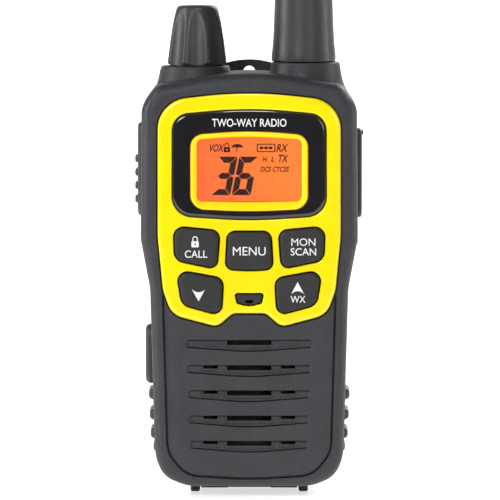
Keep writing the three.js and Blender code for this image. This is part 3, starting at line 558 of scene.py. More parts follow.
# ---- Camera, light and floor ----
def studio_world():
    """A white backdrop that lights the radio from behind, and only dimly from the front."""
    world = bpy.data.worlds.new("studio")
    world.use_nodes = True
    nodes, links = world.node_tree.nodes, world.node_tree.links
    split = nodes.new("ShaderNodeSeparateXYZ")
    links.new(nodes.new("ShaderNodeTexCoord").outputs["Generated"], split.inputs["Vector"])
    backness = nodes.new("ShaderNodeMapRange")
    backness.interpolation_type = "SMOOTHSTEP"
    backness.inputs["From Min"].default_value = 0.55
    backness.inputs["From Max"].default_value = 0.95
    backness.inputs["To Min"].default_value = FRONT_GREY
    links.new(split.outputs["Y"], backness.inputs["Value"])
    backdrop = nodes.new("ShaderNodeMath")
    backdrop.operation = "MAXIMUM"
    links.new(backness.outputs["Result"], backdrop.inputs[0])
    links.new(nodes.new("ShaderNodeLightPath").outputs["Is Camera Ray"], backdrop.inputs[1])
    links.new(backdrop.outputs["Value"], nodes["Background"].inputs["Strength"])
    nodes["Background"].inputs["Color"].default_value = (1, 1, 1, 1)
    return world


FRONT_GREY = 0.12
LAMPS = [    # name, place, width, height and power
    ("key", (-0.35, -1.0, 0.5), 0.3, 0.3, 4.3),
    ("fill", (0.5, -1.1, 0.25), 0.4, 0.4, 1.8),
    ("left strip", (-0.6, -0.08, 0.32), 0.06, 0.6, 2.7),
    ("right strip", (0.6, 0.05, 0.32), 0.05, 0.6, 1.6),
    ("top", (0.0, -0.45, 0.75), 0.1, 0.1, 1.0),
    ("rear", (0.5, 0.9, 0.6), 0.4, 0.4, 4.0),
]


def stage():
    scene = bpy.context.scene
    scene.view_settings.view_transform = "Standard"
    scene.world = studio_world()

    distance, elevation = 1.5, math.radians(4)
    view_width, aim = 0.1329, Vector((0.0002, 0, 0.0635))
    data = bpy.data.cameras.new("camera")
    data.lens = data.sensor_width * distance / view_width
    camera = bpy.data.objects.new("camera", data)
    camera.location = aim + distance * Vector((0, -math.cos(elevation), math.sin(elevation)))
    camera.rotation_euler = (math.pi / 2 - elevation, 0, 0)
    scene.collection.objects.link(camera)
    scene.camera = camera

    for name, spot, width, height, power in LAMPS:
        lamp = bpy.data.lights.new(name, "AREA")
        lamp.shape = "RECTANGLE"
        lamp.size, lamp.size_y = width, height
        lamp.energy = power
        light = bpy.data.objects.new(name, lamp)
        light.location = spot
        light.rotation_euler = (aim - Vector(spot)).to_track_quat("-Z", "Y").to_euler()
        scene.collection.objects.link(light)

    floor = box(-3000, 3000, -400, 6000, -20, -0.02, "floor")
    look = Look("floor", roughness=0.25, specular=0.5)
    look.colour(look.blend(look.spread(look.noise(40, 3), 0, 1), (0.9, 0.9, 0.9), (0.93, 0.93, 0.93)))
    look.rough(look.spread(look.noise(12, 4), 0.2, 0.3))
    look.shader.inputs["Emission Color"].default_value = (1, 1, 1, 1)
    far = look.maths("MAXIMUM", look.maths("ABSOLUTE", look.along("X"), 0), look.along("Y"))
    look.links.new(look.spread(far, 0.57, 1.0, 0.3, 1.2), look.shader.inputs["Emission Strength"])
    floor.data.materials.append(look.material)


stage()

# ---- Housings ----
KEYS = {
    "call_key": flipped(KEY_OUTER),
    "menu_key": mirrored(KEY_MENU),
    "monitor_key": KEY_OUTER,
    "down_key": flipped(KEY_ARROW),
    "up_key": KEY_ARROW,
}
KNOB = (-13.8, -1.0)         # axes of the volume knob and of the antenna
ANTENNA = (14.4, -1.0)
COLLARS = {KNOB: dict(x=-14.3, top=112.6, floor=109), ANTENNA: dict(x=14.9, top=113.6, floor=110.2)}
COLLAR_BORE = 7.2
SPEAKER_HOLE = 15.8
SPEAKER_Z = 26.6
SCREWS = [(22, 98.6), (21.2, 14.5)]
SCREW_SEAT_Y = 7.6


def body_slab(name, low, high, low_edge=0, high_edge=0, inset=0.0):
    profile = [(inset + i, y) for i, y in rounded(low, high, low_edge, high_edge, 9)]
    return plate(name, mirrored(BODY), profile)


def front_housing():
    shell = body_slab("front_shell", SEAM_Y - GAP / 2, FACE_Y, 0.25, EDGE)
    cut(shell, body_slab("cutter", SEAM_Y + 2, INSIDE_Y, inset=WALL))
    for corners in (mirrored(BEZEL), mirrored(PANEL)):
        cut(shell, prism(outline(corners, -GROOVE), FACE_Y - 5, POCKET_Y))
    through = (FACE_Y - 3, INSIDE_Y + 1)
    cut(shell, box(-16.6, 16.6, *through, 74, 97.2), box(-12.8, 12.8, *through, 12.6, 41.3),
        rod(0, SPEAKER_Z, SPEAKER_HOLE, *through, front))
    for corners in (*KEYS.values(), mirrored(MIC)):
        cut(shell, prism(outline(corners, -KEY_GAP), FACE_Y - 5, INSIDE_Y + 1))
    for x, z in SCREWS:
        for sx in (x, -x):
            join(shell, rod(sx, z, 2.5, INSIDE_Y - 0.2, SEAM_Y - GAP / 2, front))
            cut(shell, rod(sx, z, 1.3, -15.5, SEAM_Y + 1, front))
    place(soften(shell, 0.22), casing, slot="casing", nodes=["front_housing"])


TALK = dict(y=-2, width=9, bottom=73, top=97.6)
JACK = dict(y=-2.5, width=10.4, bottom=72.6, top=96)
TETHER = dict(y=-2.5, width=4.6, bottom=65.2, top=71.7)
JACK_HINGE = dict(y=-2.5, width=10.4, bottom=71.2, top=74.6)
CHARGE = dict(y=-6.6, width=7.6, bottom=28.7, top=44.4)
CHARGE_PORT = dict(y=-6.6, width=4, bottom=32.2, top=41)
JACK_FLOOR_X = 27.2
CHARGE_FLOOR_X = -24.9
JACK_PLUGS = [(80, 1.9), (89.4, 1.5)]    # height and radius
GRIP = dict(front=-9, back=5.5, bottom=7.4, top=27.8, depth=0.6)
GRIP_RIBS = [(26.6, 25.9), (26.4, 20.5), (26.15, 15.5), (25.4, 12), (24.5, 8.7)]
RAIL = (86, 100)
BAY = dict(x=17.4, front=-3.9, bottom=4.2, top=55.6)
DOOR_X, DOOR_THICK, HINGE_Z, LIP_X = 18.5, 1.6, 59.4, 12.7
FEET = dict(x=14.3, width=2.5, front=-9, back=7.2)


def side_outline(place, spare=0.0, radius=2.0):
    """Side-view outline of a cover or button, grown by spare."""
    half = place["width"] / 2 + spare
    return rectangle(place["y"] - half, place["y"] + half, place["bottom"] - spare, place["top"] + spare,
                     radius)


def side_cutter(place, x0, x1, spare=0.0, radius=2.0):
    return prism(outline(side_outline(place, spare, radius)), x0, x1, side)


def grip_band(name, sign, outer, inner, spare):
    lo, hi = GRIP["front"] - spare, GRIP["back"] + spare
    band = body_slab(name, lo, hi, inset=outer)
    cut(band, body_slab("cutter", lo - 1, hi + 1, inset=inner))
    return keep(band, box(*sorted((sign * 10, sign * 40)), -40, 40,
                          GRIP["bottom"] - spare, GRIP["top"] + spare))


def collar(axis):
    """A raised ring round the knob or the antenna, flaring into the top of the case."""
    x, high = COLLARS[axis]["x"], COLLARS[axis]["top"]
    flare = [(12, 103), (11, 106), (10.35, 107.4), (9.9, 108.7), (9.6, 110), (9.35, 111.4),
             (9.15, high - 0.7)]
    edge = [(9.1 - 0.6 * (1 - math.cos(a)), high - 0.6 + 0.6 * math.sin(a)) for a in quarter_turn(5)]

    def flush_behind(radius, z, angle):
        return min(radius, (REAR_Y - 0.15 - axis[1]) / max(math.sin(angle), 0.01))

    return lathe("collar", [(0, 103), *flare, *edge, (0, high)], x, axis[1], squeeze=flush_behind)


def foot(sign):
    """A rounded rib under the case."""
    x, half = sign * FEET["x"], FEET["width"] / 2
    section = [(x + half, 0, 0.6), (x + half, 3.6, 0.1), (x - half, 3.6, 0.1), (x - half, 0, 0.6)]
    return plate("foot", section, rounded(FEET["back"], FEET["front"], 0.6, 0.6))


def rear_housing():
    shell = body_slab("rear_shell", REAR_Y, SEAM_Y + GAP / 2, EDGE, 0.25)
    for axis in (KNOB, ANTENNA):
        join(shell, keep(collar(axis), box(-40, 40, SEAM_Y + GAP / 2, 40, 90, 120)))
    cut(shell, body_slab("cutter", SEAM_Y - 1, REAR_Y - WALL, inset=WALL))
    for axis, ring in COLLARS.items():
        cut(shell, rod(*axis, COLLAR_BORE, 103, ring["floor"], top))
    cut(shell, rod(*KNOB, 4, 100, 120, top), rod(*KNOB, 6.2, 111, 120, top), rod(*ANTENNA, 4.8, 100, 120, top))
    wall = 2
    bay = box(-BAY["x"] - wall, BAY["x"] + wall, BAY["front"] - wall, REAR_Y, BASE_Z, BAY["top"] + wall)
    join(shell, keep(bay, body_slab("cutter", REAR_Y, SEAM_Y, EDGE)))
    cut(shell, box(-BAY["x"], BAY["x"], BAY["front"], REAR_Y + 3, BAY["bottom"], BAY["top"]))
    for x, z in SCREWS:
        for sx in (x, -x):
            join(shell, rod(sx, z, 2.5, SEAM_Y + GAP / 2, REAR_Y - 1, front))
            cut(shell, rod(sx, z, 1.3, SEAM_Y - 1, REAR_Y + 1, front),
                rod(sx, z, 2.3, SCREW_SEAT_Y, REAR_Y + 1, front))
    join(shell, foot(1), foot(-1))
    cut(shell, box(-DOOR_X - GAP, DOOR_X + GAP, REAR_Y - DOOR_THICK - 0.15, REAR_Y + 3, -5, HINGE_Z + 1.2),
        *[grip_band("cutter", sign, -2, GRIP["depth"] + GAP, GAP) for sign in (1, -1)],
        side_cutter(TALK, -40, -20, GROOVE, 2.4), side_cutter(JACK, JACK_FLOOR_X, 40, GROOVE, 2.4),
        *[side_cutter(groove, JACK_FLOOR_X, 40, GROOVE, 1) for groove in (TETHER, JACK_HINGE)],
        side_cutter(CHARGE, -40, CHARGE_FLOOR_X, GROOVE, 3.4), side_cutter(CHARGE_PORT, -40, -20, 0, 1))
    for z, radius in JACK_PLUGS:
        cut(shell, rod(JACK["y"], z, radius + 0.6, 20, 40, side))
    rail = box(-4.6, 4.6, REAR_Y - 0.5, REAR_Y + 2.8, *RAIL, "rail")
    join(shell, join(rail, box(-7, 7, REAR_Y + 1.4, REAR_Y + 2.8, *RAIL)))
    place(soften(shell, 0.22), casing, slot="casing", nodes=["rear_housing"])


def side_grip(sign, name):
    grip = grip_band(name, sign, -0.2, GRIP["depth"], 0)
    for x, z in GRIP_RIBS:
        root = x - 2.6
        corners = [(root, z - 2.3, 0.2), (x, z - 1.1, 1.0), (x, z + 1.0, 0.8), (root, z + 1.9, 0.2)]
        rib = plate("rib", corners if sign > 0 else flipped(corners),
                    rounded(GRIP["front"] + 0.8, GRIP["back"] - 0.8, 0.9, 0.9))
        join(grip, rib)
    cut(grip, body_slab("cutter", -40, 40, inset=GRIP["depth"]))
    place(soften(grip, 0.25, 30, 3), casing_grip, slot="rubber", nodes=[name])


front_housing()
rear_housing()
side_grip(-1, "side_grip_left")
side_grip(1, "side_grip_right")


# ---- Face ----
def framed(name, outer, inner, section):
    """A piece between two outlines of as many corners. Section gives (outer or inner, inset, y) round it."""
    edges = {"outer": mirrored(outer), "inner": mirrored(inner)}
    rings = [[front(x, z, y) for x, z in outline(edges[which], inset)] for which, inset, y in section]
    return skin(name, rings, looped=True)


def bezel():
    trim = plate("bezel", mirrored(BEZEL), rounded(POCKET_Y - 0.15, TRIM_Y, 0, (1.1, 0.6), 8))
    cut(trim, opening(mirrored(LENS), 0.45))
    for corners in (*KEYS.values(), mirrored(MIC)):
        cut(trim, opening(corners, 0.3))
    place(smooth(trim, 40), yellow, slot="yellow_plastic", nodes=["yellow_bezel"])


def outer_rim(y, width, deep):
    """The outer edge of a framed() piece, rounded from its side onto its front at y."""
    return [("outer", width * (1 - math.cos(a)), y + deep * (1 - math.sin(a))) for a in quarter_turn(6)]


def display_unit():
    back = POCKET_Y - 0.15
    panel = framed("display_panel", LENS, RING, [
        ("outer", 0, back), *outer_rim(TRIM_Y - 0.1, 0.9, 0.55), ("inner", -0.25, TRIM_Y - 0.1),
        ("inner", -0.1, TRIM_Y + 0.05), ("inner", -0.1, back)])
    place(smooth(panel, 40), gloss_black, slot="gloss_black", nodes=["display_panel"])
    ring = framed("window_ring", RING, WINDOW, [
        ("outer", 0, back), *outer_rim(TRIM_Y - 0.3, 0.3, 0.3), ("outer", 0.75, TRIM_Y - 0.3),
        ("outer", 0.93, TRIM_Y - 0.22), ("inner", 0.12, TRIM_Y + 0.3), ("inner", 0.08, TRIM_Y + 0.37),
        ("inner", -0.1, TRIM_Y + 0.38), ("inner", -0.1, back)])
    place(smooth(ring, 40), yellow, slot="yellow_plastic", nodes=["window_ring"])
    window = plate("display_window", mirrored(WINDOW), rounded(back - 0.1, TRIM_Y + 0.45, 0.05, 0.35))
    place(smooth(window, 40), clear_window, slot="clear_window", nodes=["display_window"])
    lcd = box(-15.8, 15.8, -18, -16.3, 75, 96.3, "display")
    place(soften(lcd, 0.15), display_orange, slot="display_orange", nodes=["lcd_panel"])


MIC_Z = 51.3


def cap_plate(name, corners, profile):
    """A plate set in from the edge of the hole that it fills."""
    return plate(name, corners, [(CAP_INSET + inset, y) for inset, y in profile])


def keypad():
    for name, corners in KEYS.items():
        cap = cap_plate(name, corners, rounded(-15.9, KEY_TOP_Y, 0, (0.95, 0.7), 7))
        flange = plate("flange", corners, [(-0.8, -16.85), (-0.8, -15.9)])
        place(soften(join(cap, flange), 0.12, 40, 2), key_rubber, name, slot="key_rubber", nodes=[name])
    inset = cap_plate("mic_surround", mirrored(MIC), rounded(INSIDE_Y, TRIM_Y, 0, 0.35))
    cut(inset, block(-1.05, 1.05, MIC_Z - 0.42, MIC_Z + 0.42, 0.41, -40, 0))
    place(soften(inset, 0.1), key_rubber, slot="black_plastic", nodes=["mic_inset"])


def grille():
    """The speaker grille: bowed recesses, each with a dark line round it and openings along its top edge."""
    band = 3.4
    panel = plate("grille", mirrored(PANEL), [(0, POCKET_Y - 0.15), (0, TRIM_Y + 0.85), (0.12, TRIM_Y + 0.7),
                                              (0.35, TRIM_Y + 0.55), (band - 0.8, TRIM_Y + 0.12),
                                              (band - 0.3, TRIM_Y + 0.04), (band + 0.3, TRIM_Y)])
    cut(panel, prism(outline(mirrored(BEZEL), -GROOVE), -40, 0))
    for row in range(5):
        high = 41.2 - row * 6.65
        half = 16.7 - row * 0.27

        def bowed(reach, drop, end_drop, rise=0.0):
            return mirrored([(0, high - drop, 60), (reach, high - end_drop, 0.5), (reach, high + rise, 0.4)])

        floor = TRIM_Y + 0.5
        sides = ((half, TRIM_Y - 3), (half, TRIM_Y), (half - 0.65, floor))
        rings = [[front(x, z, y) for x, z in outline(bowed(reach, 3.35, 2.05))] for reach, y in sides]
        cut(panel, skin("cutter", rings))
        lines = prism(outline(bowed(half - 0.5, 3.35, 2.05)), TRIM_Y - 3, TRIM_Y + 1.25)
        cut(panel, cut(lines, prism(outline(bowed(half + 2, 2.95, 1.65, -0.28)), -40, 0)))
        cut(panel, prism(outline(bowed(6.7, 2.4, 2.15)), -40, floor + 0.35),
            block(-5.85, 5.85, high - 1.4, high - 0.02, 0.2, -40, 0))
        for hand in (1, -1):
            pocket = [(7.7, high - 1.95, 0.3), (12.6, high - 1.65, 0.6), (13.1, high, 0.2), (7.7, high, 0.2)]
            cut(panel, prism(outline(pocket if hand > 0 else flipped(pocket)), -40, floor + 0.3))
            if row:
                hole = rectangle(8.3, 12.1, high - 0.95, high - 0.02, 0.2)
                cut(panel, prism(outline(hole if hand > 0 else flipped(hole)), -40, 0))
    place(soften(panel, 0.1), casing, slot="casing", nodes=["grille_panel"])


bezel()
display_unit()
keypad()
grille()


# ---- Printed marks: generic words, symbols and numbers ----
def words(text, x, z, height, y, width, slant=0.0, weight=0.0):
    """Flat lettering centred on x, z, its front at y. Weight thickens it, which an M's outline can't take."""
    curve = bpy.data.curves.new("words", "FONT")
    curve.body = text
    curve.extrude = 0.5
    curve.offset = weight
    curve.resolution_u = 4
    obj = meshed("words", curve)
    corners = [vertex.co for vertex in obj.data.vertices]
    low = Vector((min(c.x for c in corners), min(c.y for c in corners)))
    high = Vector((max(c.x for c in corners), max(c.y for c in corners)))
    up = height / (high.y - low.y)
    across = width / (high.x - low.x)
    for vertex in obj.data.vertices:
        a = (vertex.co.x - (low.x + high.x) / 2) * across
        b = (vertex.co.y - (low.y + high.y) / 2) * up
        vertex.co = Vector((x + a + slant * b, y + MARK_THICK * (0.5 - vertex.co.z), z + b)) * MM
    return obj


def patch(points, y):
    """A flat mark from front-view points."""
    return prism(points, y + MARK_THICK, y, front, "mark")


def slanted(points, slant, base):
    return [(x + slant * (z - base), z) for x, z in points]


def merged(name, pieces):
    bpy.context.view_layer.update()
    bm = bmesh.new()
    for piece in pieces:
        bm.from_mesh(piece.data)
        bpy.data.objects.remove(piece)
    mesh = bpy.data.meshes.new(name)
    bm.to_mesh(mesh)
    bm.free()
    obj = bpy.data.objects.new(name, mesh)
    bpy.context.scene.collection.objects.link(obj)
    return obj


def padlock(x, z, size, y):
    """A padlock symbol whose body is centred on x, z."""
    half, low, high = 0.42 * size, z - 0.42 * size, z + 0.26 * size
    body = patch(outline(rectangle(x - half, x + half, low, high, 0.1 * size)), y)
    cut(body, rod(x, z - 0.08 * size, 0.1 * size, y - 1, y + 1, front))
    outer, inner = 0.31 * size, 0.19 * size
    turns = [math.pi * k / 12 for k in range(13)]

    def bow(radius, angles):
        return [(x + radius * math.cos(a), high + 0.28 * size + radius * math.sin(a)) for a in angles]

    shackle = bow(outer, turns) + [(x - outer, high - 0.05), (x - inner, high - 0.05)]
    shackle += bow(inner, turns[::-1]) + [(x + inner, high - 0.05), (x + outer, high - 0.05)]
    return merged("padlock", [body, patch(shackle, y)])


def arrowhead(x, z, sign, y):
    """A solid arrowhead with a bowed back, pointing up where sign is 1."""
    back = [(x + 1.7 * t, z - sign * (1.25 - 0.75 * (1 - t * t))) for t in (k / 6 - 1 for k in range(13))]
    return patch(back + [(x, z + sign * 1.9)], y)


def key_marks():
    y = KEY_TOP_Y - 0.03
    marks = {
        "call_key": [padlock(-14.2, 66.6, 2.3, y),
                     words("CALL", -13.95, 63.85, 1.95, y, width=5.9, weight=0.006)],
        "menu_key": [words("MENU", 0, 64.6, 2.25, y, width=8.6)],
        "monitor_key": [words("MON", 14.2, 67.0, 1.95, y, width=6.3),
                        words("SCAN", 14.2, 64.45, 1.95, y, width=6.7, weight=0.006)],
        "down_key": [arrowhead(-13.3, 53.3, -1, y)],
        "up_key": [arrowhead(12.7, 54.6, 1, y), words("WX", 12.8, 51.95, 1.8, y, width=3.9, weight=0.004)],
    }
    for body, pieces in marks.items():
        place(merged(body + "_mark", pieces), legend_white, body, slot="white_plastic")


SLANT = 0.2     # of the display's digits and letters


def digit(lit, x, z, width, height, y):
    """A seven-segment digit with its lower left corner at x, z; its segments a to g go round from the top."""
    bar, gap = 1.6, 0.1
    right, high, mid = x + width, z + height, z + height / 2
    half, nib = bar / 2, bar * 0.45
    near, far = x + bar + gap / 2, right - bar - gap / 2
    top_bar = [(x + gap, high), (right - gap, high), (far, high - bar), (near, high - bar)]
    low_bar = [(x + gap, z), (near, z + bar), (far, z + bar), (right - gap, z)]
    mid_bar = [(x + nib + gap, mid), (near, mid + half), (far, mid + half), (right - nib - gap, mid),
               (far, mid - half), (near, mid - half)]
    upper_right = [(right, high - gap), (right - bar, high - bar - gap), (right - bar, mid + half + gap),
                   (right - nib, mid + gap), (right, mid + gap + 0.3)]
    lower_right = [(a, 2 * mid - b) for a, b in upper_right]
    upper_left = [(x + right - a, b) for a, b in upper_right]
    lower_left = [(a, 2 * mid - b) for a, b in upper_left]
    shapes = dict(a=top_bar, b=upper_right, c=lower_right, d=low_bar, e=lower_left, f=upper_left, g=mid_bar)
    return [patch(slanted(shapes[name], SLANT, mid), y) for name in lit]


def display_marks():
    y = -18.06
    pieces = digit("abcdg", -8.98, 79.2, 4.95, 10.1, y) + digit("acdefg", -3.6, 79.2, 4.95, 10.1, y)
    icon_z = 91.6
    for text, x, z, height, width in (("VOX", -8.6, icon_z, 2.0, 3.9), ("RX", 8.7, icon_z, 2.0, 2.8),
                                      ("TX", 8.85, 88.8, 2.0, 2.6), ("H", 4.1, 88.6, 1.4, 1.0),
                                      ("L", 6.3, 88.6, 1.4, 0.8), ("DCS CTCSS", 6.7, 86, 1.4, 7.4)):
        pieces.append(words(text, x, z, height, y, width=width, slant=SLANT, weight=0.025))
    pieces.append(padlock(-5.85, icon_z - 0.3, 2.0, y))
    canopy = [(-3.15 + 1.55 * math.cos(a), icon_z + 0.1 + 0.95 * math.sin(a)) for a in
              (math.pi * k / 10 for k in range(11))]
    pieces.append(patch(canopy, y))
    pieces.append(patch(slanted([(-3.3, icon_z - 1.1), (-3.05, icon_z - 1.1), (-3.05, icon_z + 0.15),
                                 (-3.3, icon_z + 0.15)], SLANT, icon_z), y))
    case = patch(outline(rectangle(1.95, 6.9, icon_z - 1.1, icon_z + 1.1, 0.35)), y)
    cut(case, block(2.25, 6.6, icon_z - 0.85, icon_z + 0.85, 0.2, y - 1, y + 1))
    pieces.append(case)
    for i in range(3):
        x = 2.75 + i * 1.2
        low, high = icon_z - 0.35, icon_z + 0.35
        pieces.append(patch([(x, low), (x + 0.95, low), (x + 0.95, high), (x, high)], y))
    place(merged("display_segments", pieces), display_ink, slot="black_plastic")


def panel_marks():
    """Plain white lettering over the window, naming what the thing is."""
    y = TRIM_Y - 0.13
    title = words("TWO-WAY RADIO", 0, 98.3, 2.1, y, width=19.5, weight=0.01)
    place(title, legend_white, slot="white_plastic")


key_marks()
display_marks()
panel_marks()


# ---- Volume knob and antenna ----
def blended(table, z):
    """The value at height z of a smooth line through a table of (z, value) rows."""
    for (z0, v0), (z1, v1) in zip(table, table[1:]):
        if z <= z1:
            return v0 + (v1 - v0) * max(0.0, (z - z0) / (z1 - z0))
    return table[-1][1]


def volume_knob():
    low, high = 113.0, 128.5
    ridge = [(low, 7.85), (low + 0.5, 8.25), (119, 7.55), (123.3, 6.8), (125.3, 6.3), (127.4, 5.6),
             (128.05, 5.25), (128.3, 4.95), (high, 4.5)]
    wave = 5.2      # radius of the round cutter that each flute follows

    def fluted(radius, z, angle):
        bottom = 7.3 - 0.112 * (z - low)
        away = (angle + math.radians(22.5)) % math.radians(45) - math.radians(22.5)
        centre = bottom + wave
        across = centre * math.sin(away)
        if abs(across) >= wave:
            return radius
        valley = centre * math.cos(away) - math.sqrt(wave ** 2 - across ** 2)
        soft = 0.12
        gap = max(-4, min(4, (radius - valley) / soft))
        return radius - soft * math.log(1 + math.exp(gap)) if radius - valley < 4 * soft else valley

    count = 70
    heights = [low, low + 0.12, low + 0.3, low + 0.5]
    heights += [low + 0.5 + (high - low - 1.1) * i / count for i in range(1, count)]
    heights += [high - 0.6, high - 0.45, high - 0.3, high - 0.17, high - 0.07, high]
    profile = [(0, 121.3), (3.3, 121.3), (3.3, 114.2), (6.5, 114.2), (6.5, 112.75), (7.2, 112.75), (7.2, low)]
    profile += [(blended(ridge, z), z) for z in heights]
    profile += [(3.9, high + 0.02), (3.7, high - 0.12), (0, high - 0.16)]

    def shaped(radius, z, angle):
        return fluted(radius, z, angle) if radius > 4.2 and z >= low and radius not in (6.5, 7.2) else radius

    knob = lathe("knob", profile, *KNOB, 288, squeeze=shaped)
    place(smooth(knob, 45), rubber, "volume_knob", slot="rubber", nodes=["volume_knob"])


def antenna():
    z = 113.75
    crown = [math.radians(5 + 85 * k / 12) for k in range(13)]
    profile = [(3.4, 156), (3.4, z), (8.2, z), (8.42, z + 0.1), (8.5, z + 0.3), (8.5, z + 1.6),
               (8.35, z + 2.8), (8.15, z + 4.8), (7.98, z + 7.8), (7.82, z + 11.8), (7.66, 130), (7.4, 136),
               (6.8, 145), (6.2, 153), (5.75, 159),
               *[(1.6 + 4 * math.cos(a), 161 + 4 * math.sin(a)) for a in crown], (0, 165), (0, 156)]
    sheath = lathe("antenna", profile, *ANTENNA, 128, closed=True)
    place(smooth(sheath, 40), rubber, slot="rubber", nodes=["antenna_sheath"])
    section = [(0, 103.5), (6.2, 103.5), (6.4, 103.7), (6.4, 109.7), (6.2, 109.9), (4.5, 109.9), (4.5, 111),
               (4.3, 111.2), (4.3, 111.8), (4.5, 112), (4.5, 113.25), (4.3, 113.45), (2.9, 113.45),
               (2.9, 117.1), (2.6, 117.4), (0, 117.4)]
    ferrule = lathe("ferrule", section, *ANTENNA, 64)
    place(smooth(ferrule), nickel, slot="nickel", nodes=["antenna_base"])
    line = winding(11, 320, lambda share, a: (ANTENNA[0] + 2.3 * math.cos(a), ANTENNA[1] + 2.3 * math.sin(a),
                                              118 + 34 * share))
    place(smooth(tube("winding", line, 0.4)), copper, slot="copper", nodes=["antenna_coil"])


def volume_control():
    section = [(0, 100.8), (5.8, 100.8), (6, 101), (6, 108.6), (5.8, 108.8), (3.6, 108.8), (3.6, 112.6),
               (3.4, 112.8), (2.3, 112.8), (2.3, 109.4), (0, 109.4)]
    body = lathe("pot", section, *KNOB, 64)
    for x in (KNOB[0] - 2.5, KNOB[0], KNOB[0] + 2.5):
        cut(body, box(x - 0.8, x + 0.8, KNOB[1] - 9, KNOB[1] - 5.4, 102, 107))
    place(soften(body, 0.1), black_plastic, slot="black_plastic", nodes=["volume_control"])
    section = [(0, 109.8), (1.9, 109.8), (2, 109.9), (2, 113.1), (2.9, 113.1), (3, 113.2), (3, 120.7),
               (2.7, 121), (0, 121)]
    shaft = lathe("shaft", section, *KNOB, 48)
    place(smooth(shaft), steel, "volume_knob", slot="steel", nodes=["volume_shaft"])
    nut = prism(circle(*KNOB, 5.9, 6), 111.15, 112.5, top, "nut")
    chamfers = [(0, 111.1), (5.2, 111.1), (5.95, 111.5), (5.95, 112.15), (5.2, 112.55), (0, 112.55)]
    keep(nut, lathe("cutter", chamfers, *KNOB, 64))
    cut(nut, rod(*KNOB, 3.9, 100, 120, top))
    place(soften(nut, 0.08), steel, slot="steel", nodes=["volume_nut"])


volume_knob()
antenna()
volume_control()


# ---- Side controls ----
def side_plate(name, place_, profile, radius):
    """A side cover or button, from insets and depths. Its corners keep their radius at every inset."""
    return skin(name, [[side(a, b, x) for a, b in outline(side_outline(place_, -inset, radius))]
                       for inset, x in profile])


def talk_button():
    button = side_plate("talk_button", TALK, rounded(-25, -29.5, 0, 0.9, 6), 2.2)
    flange = side_plate("flange", dict(y=-2, width=11.4, bottom=71.8, top=95.7), [(0, -26), (0, -25)], 2)
    join(button, flange)
    for z in (77.4, 81, 84.5, 88.1):
        section = [(-28, z - 1.7, 0.2), (-28, z + 1.7, 0.2), (-30.2, z + 0.75, 0.5), (-30.2, z - 0.75, 0.5)]
        join(button, plate("rib", section, rounded(-5.7, 1.7, 0.7, 0.7)))
    place(soften(button, 0.25, 30, 3), casing_grip, "talk_button", slot="rubber", nodes=["talk_button"])


def jack_cover():
    cover = side_plate("jack_cover", JACK, rounded(27.35, 29.8, 0, 0.7, 6), 2.2)
    rim = prism(outline(side_outline(JACK, -1.7, 1.4)), 29.5, 30.4, side)
    cut(rim, prism(outline(side_outline(JACK, -2.4, 1.0)), 29, 31, side))
    cut(cover, rim)
    tab = rectangle(JACK["y"] - 3.2, JACK["y"] + 3.2, 94.4, 95.6, 0.5)
    join(cover, plate("tab", tab, rounded(29, 30.2, 0, 0.35), side))
    for z, radius in JACK_PLUGS:
        join(cover, rod(JACK["y"], z, radius, 25.8, 28, side))
    place(soften(cover, 0.2), rubber, "jack_cover", slot="seal_rubber", nodes=["jack_cover"])
    strap = side_plate("tether", TETHER, rounded(27.35, 28.8, 0, 0.5), 1)
    place(soften(strap, 0.15), rubber, slot="seal_rubber", nodes=["jack_cover_tether"])


def charge_cover():
    cover = side_plate("charge_cover", CHARGE, rounded(-25.05, -27.4, 0, 1.3, 7), 3)
    join(cover, side_cutter(dict(y=-6.6, width=2.6, bottom=33.6, top=39.6), -25.5, -24, radius=1))
    place(soften(cover, 0.25, 30, 3), rubber, "charge_cover", slot="seal_rubber", nodes=["charge_cover"])


def sockets():
    for name, z, half, bore in (("headset_jack", 80, 3.4, 1.8), ("microphone_jack", 89.4, 3, 1.3)):
        y = JACK["y"]
        body = block(y - half, y + half, z - half, z + half, 0.6, 17.2, 25.2, side, name)
        join(body, rod(y, z, half - 0.4, 25, 25.6, side))
        cut(body, rod(y, z, bore, 18.2, 27, side))
        place(soften(body, 0.12), black_plastic, slot="black_plastic", nodes=[name])
    port = dict(y=-6.6, width=3, bottom=32.6, top=40.6)
    shell = side_plate("charge_socket", port, [(0, -23.9), (0, -19.8)], 1.3)
    cut(shell, side_cutter(port, -25, -20.4, -0.45, 0.9))
    join(shell, box(-23.2, -20.2, -6.95, -6.25, 34.2, 39))
    place(soften(shell, 0.08), nickel, slot="nickel", nodes=["charge_connector"])
    switch = box(-23.4, -20.7, -11.85, 0, 82, 88, "switch")
    join(switch, rod(-2, 85, 1.3, -23.7, -23, side))
    cut(switch, box(-24, -23.1, -11, -5, 83, 87))
    place(soften(switch, 0.15), black_plastic, slot="black_plastic", nodes=["talk_switch"])


talk_button()
jack_cover()
charge_cover()
sockets()


# ---- Back: screws, battery door, latch and belt clip ----
def spun(name, profile, x, z, sides=64, closed=False):
    """A solid of revolution about the front-to-back line at x, z, from (radius, y) points."""
    return turn_to_y(lathe(name, profile, 0, 0, sides, closed), x, z)


def housing_screws():
    for level, (x, z) in zip(("upper", "lower"), SCREWS):
        for hand, sx in (("left", -x), ("right", x)):
            screw = spun("screw", [(0, -14.8), (0.4, -14.7), (0.85, -14.1), (0.85, 7.3), (1, 7.75), (2, 7.75),
                                   (2, 8.3), (1.85, 8.7), (1.5, 8.93), (1, 9), (0, 9)], sx, z)
            cross = box(sx - 1.25, sx + 1.25, 8.3, 10, z - 0.28, z + 0.28)
            join(cross, box(sx - 0.28, sx + 0.28, 8.3, 10, z - 1.25, z + 1.25))
            cut(screw, cross)
            place(soften(screw, 0.07), steel, slot="steel", nodes=[f"housing_screw_{level}_{hand}"])


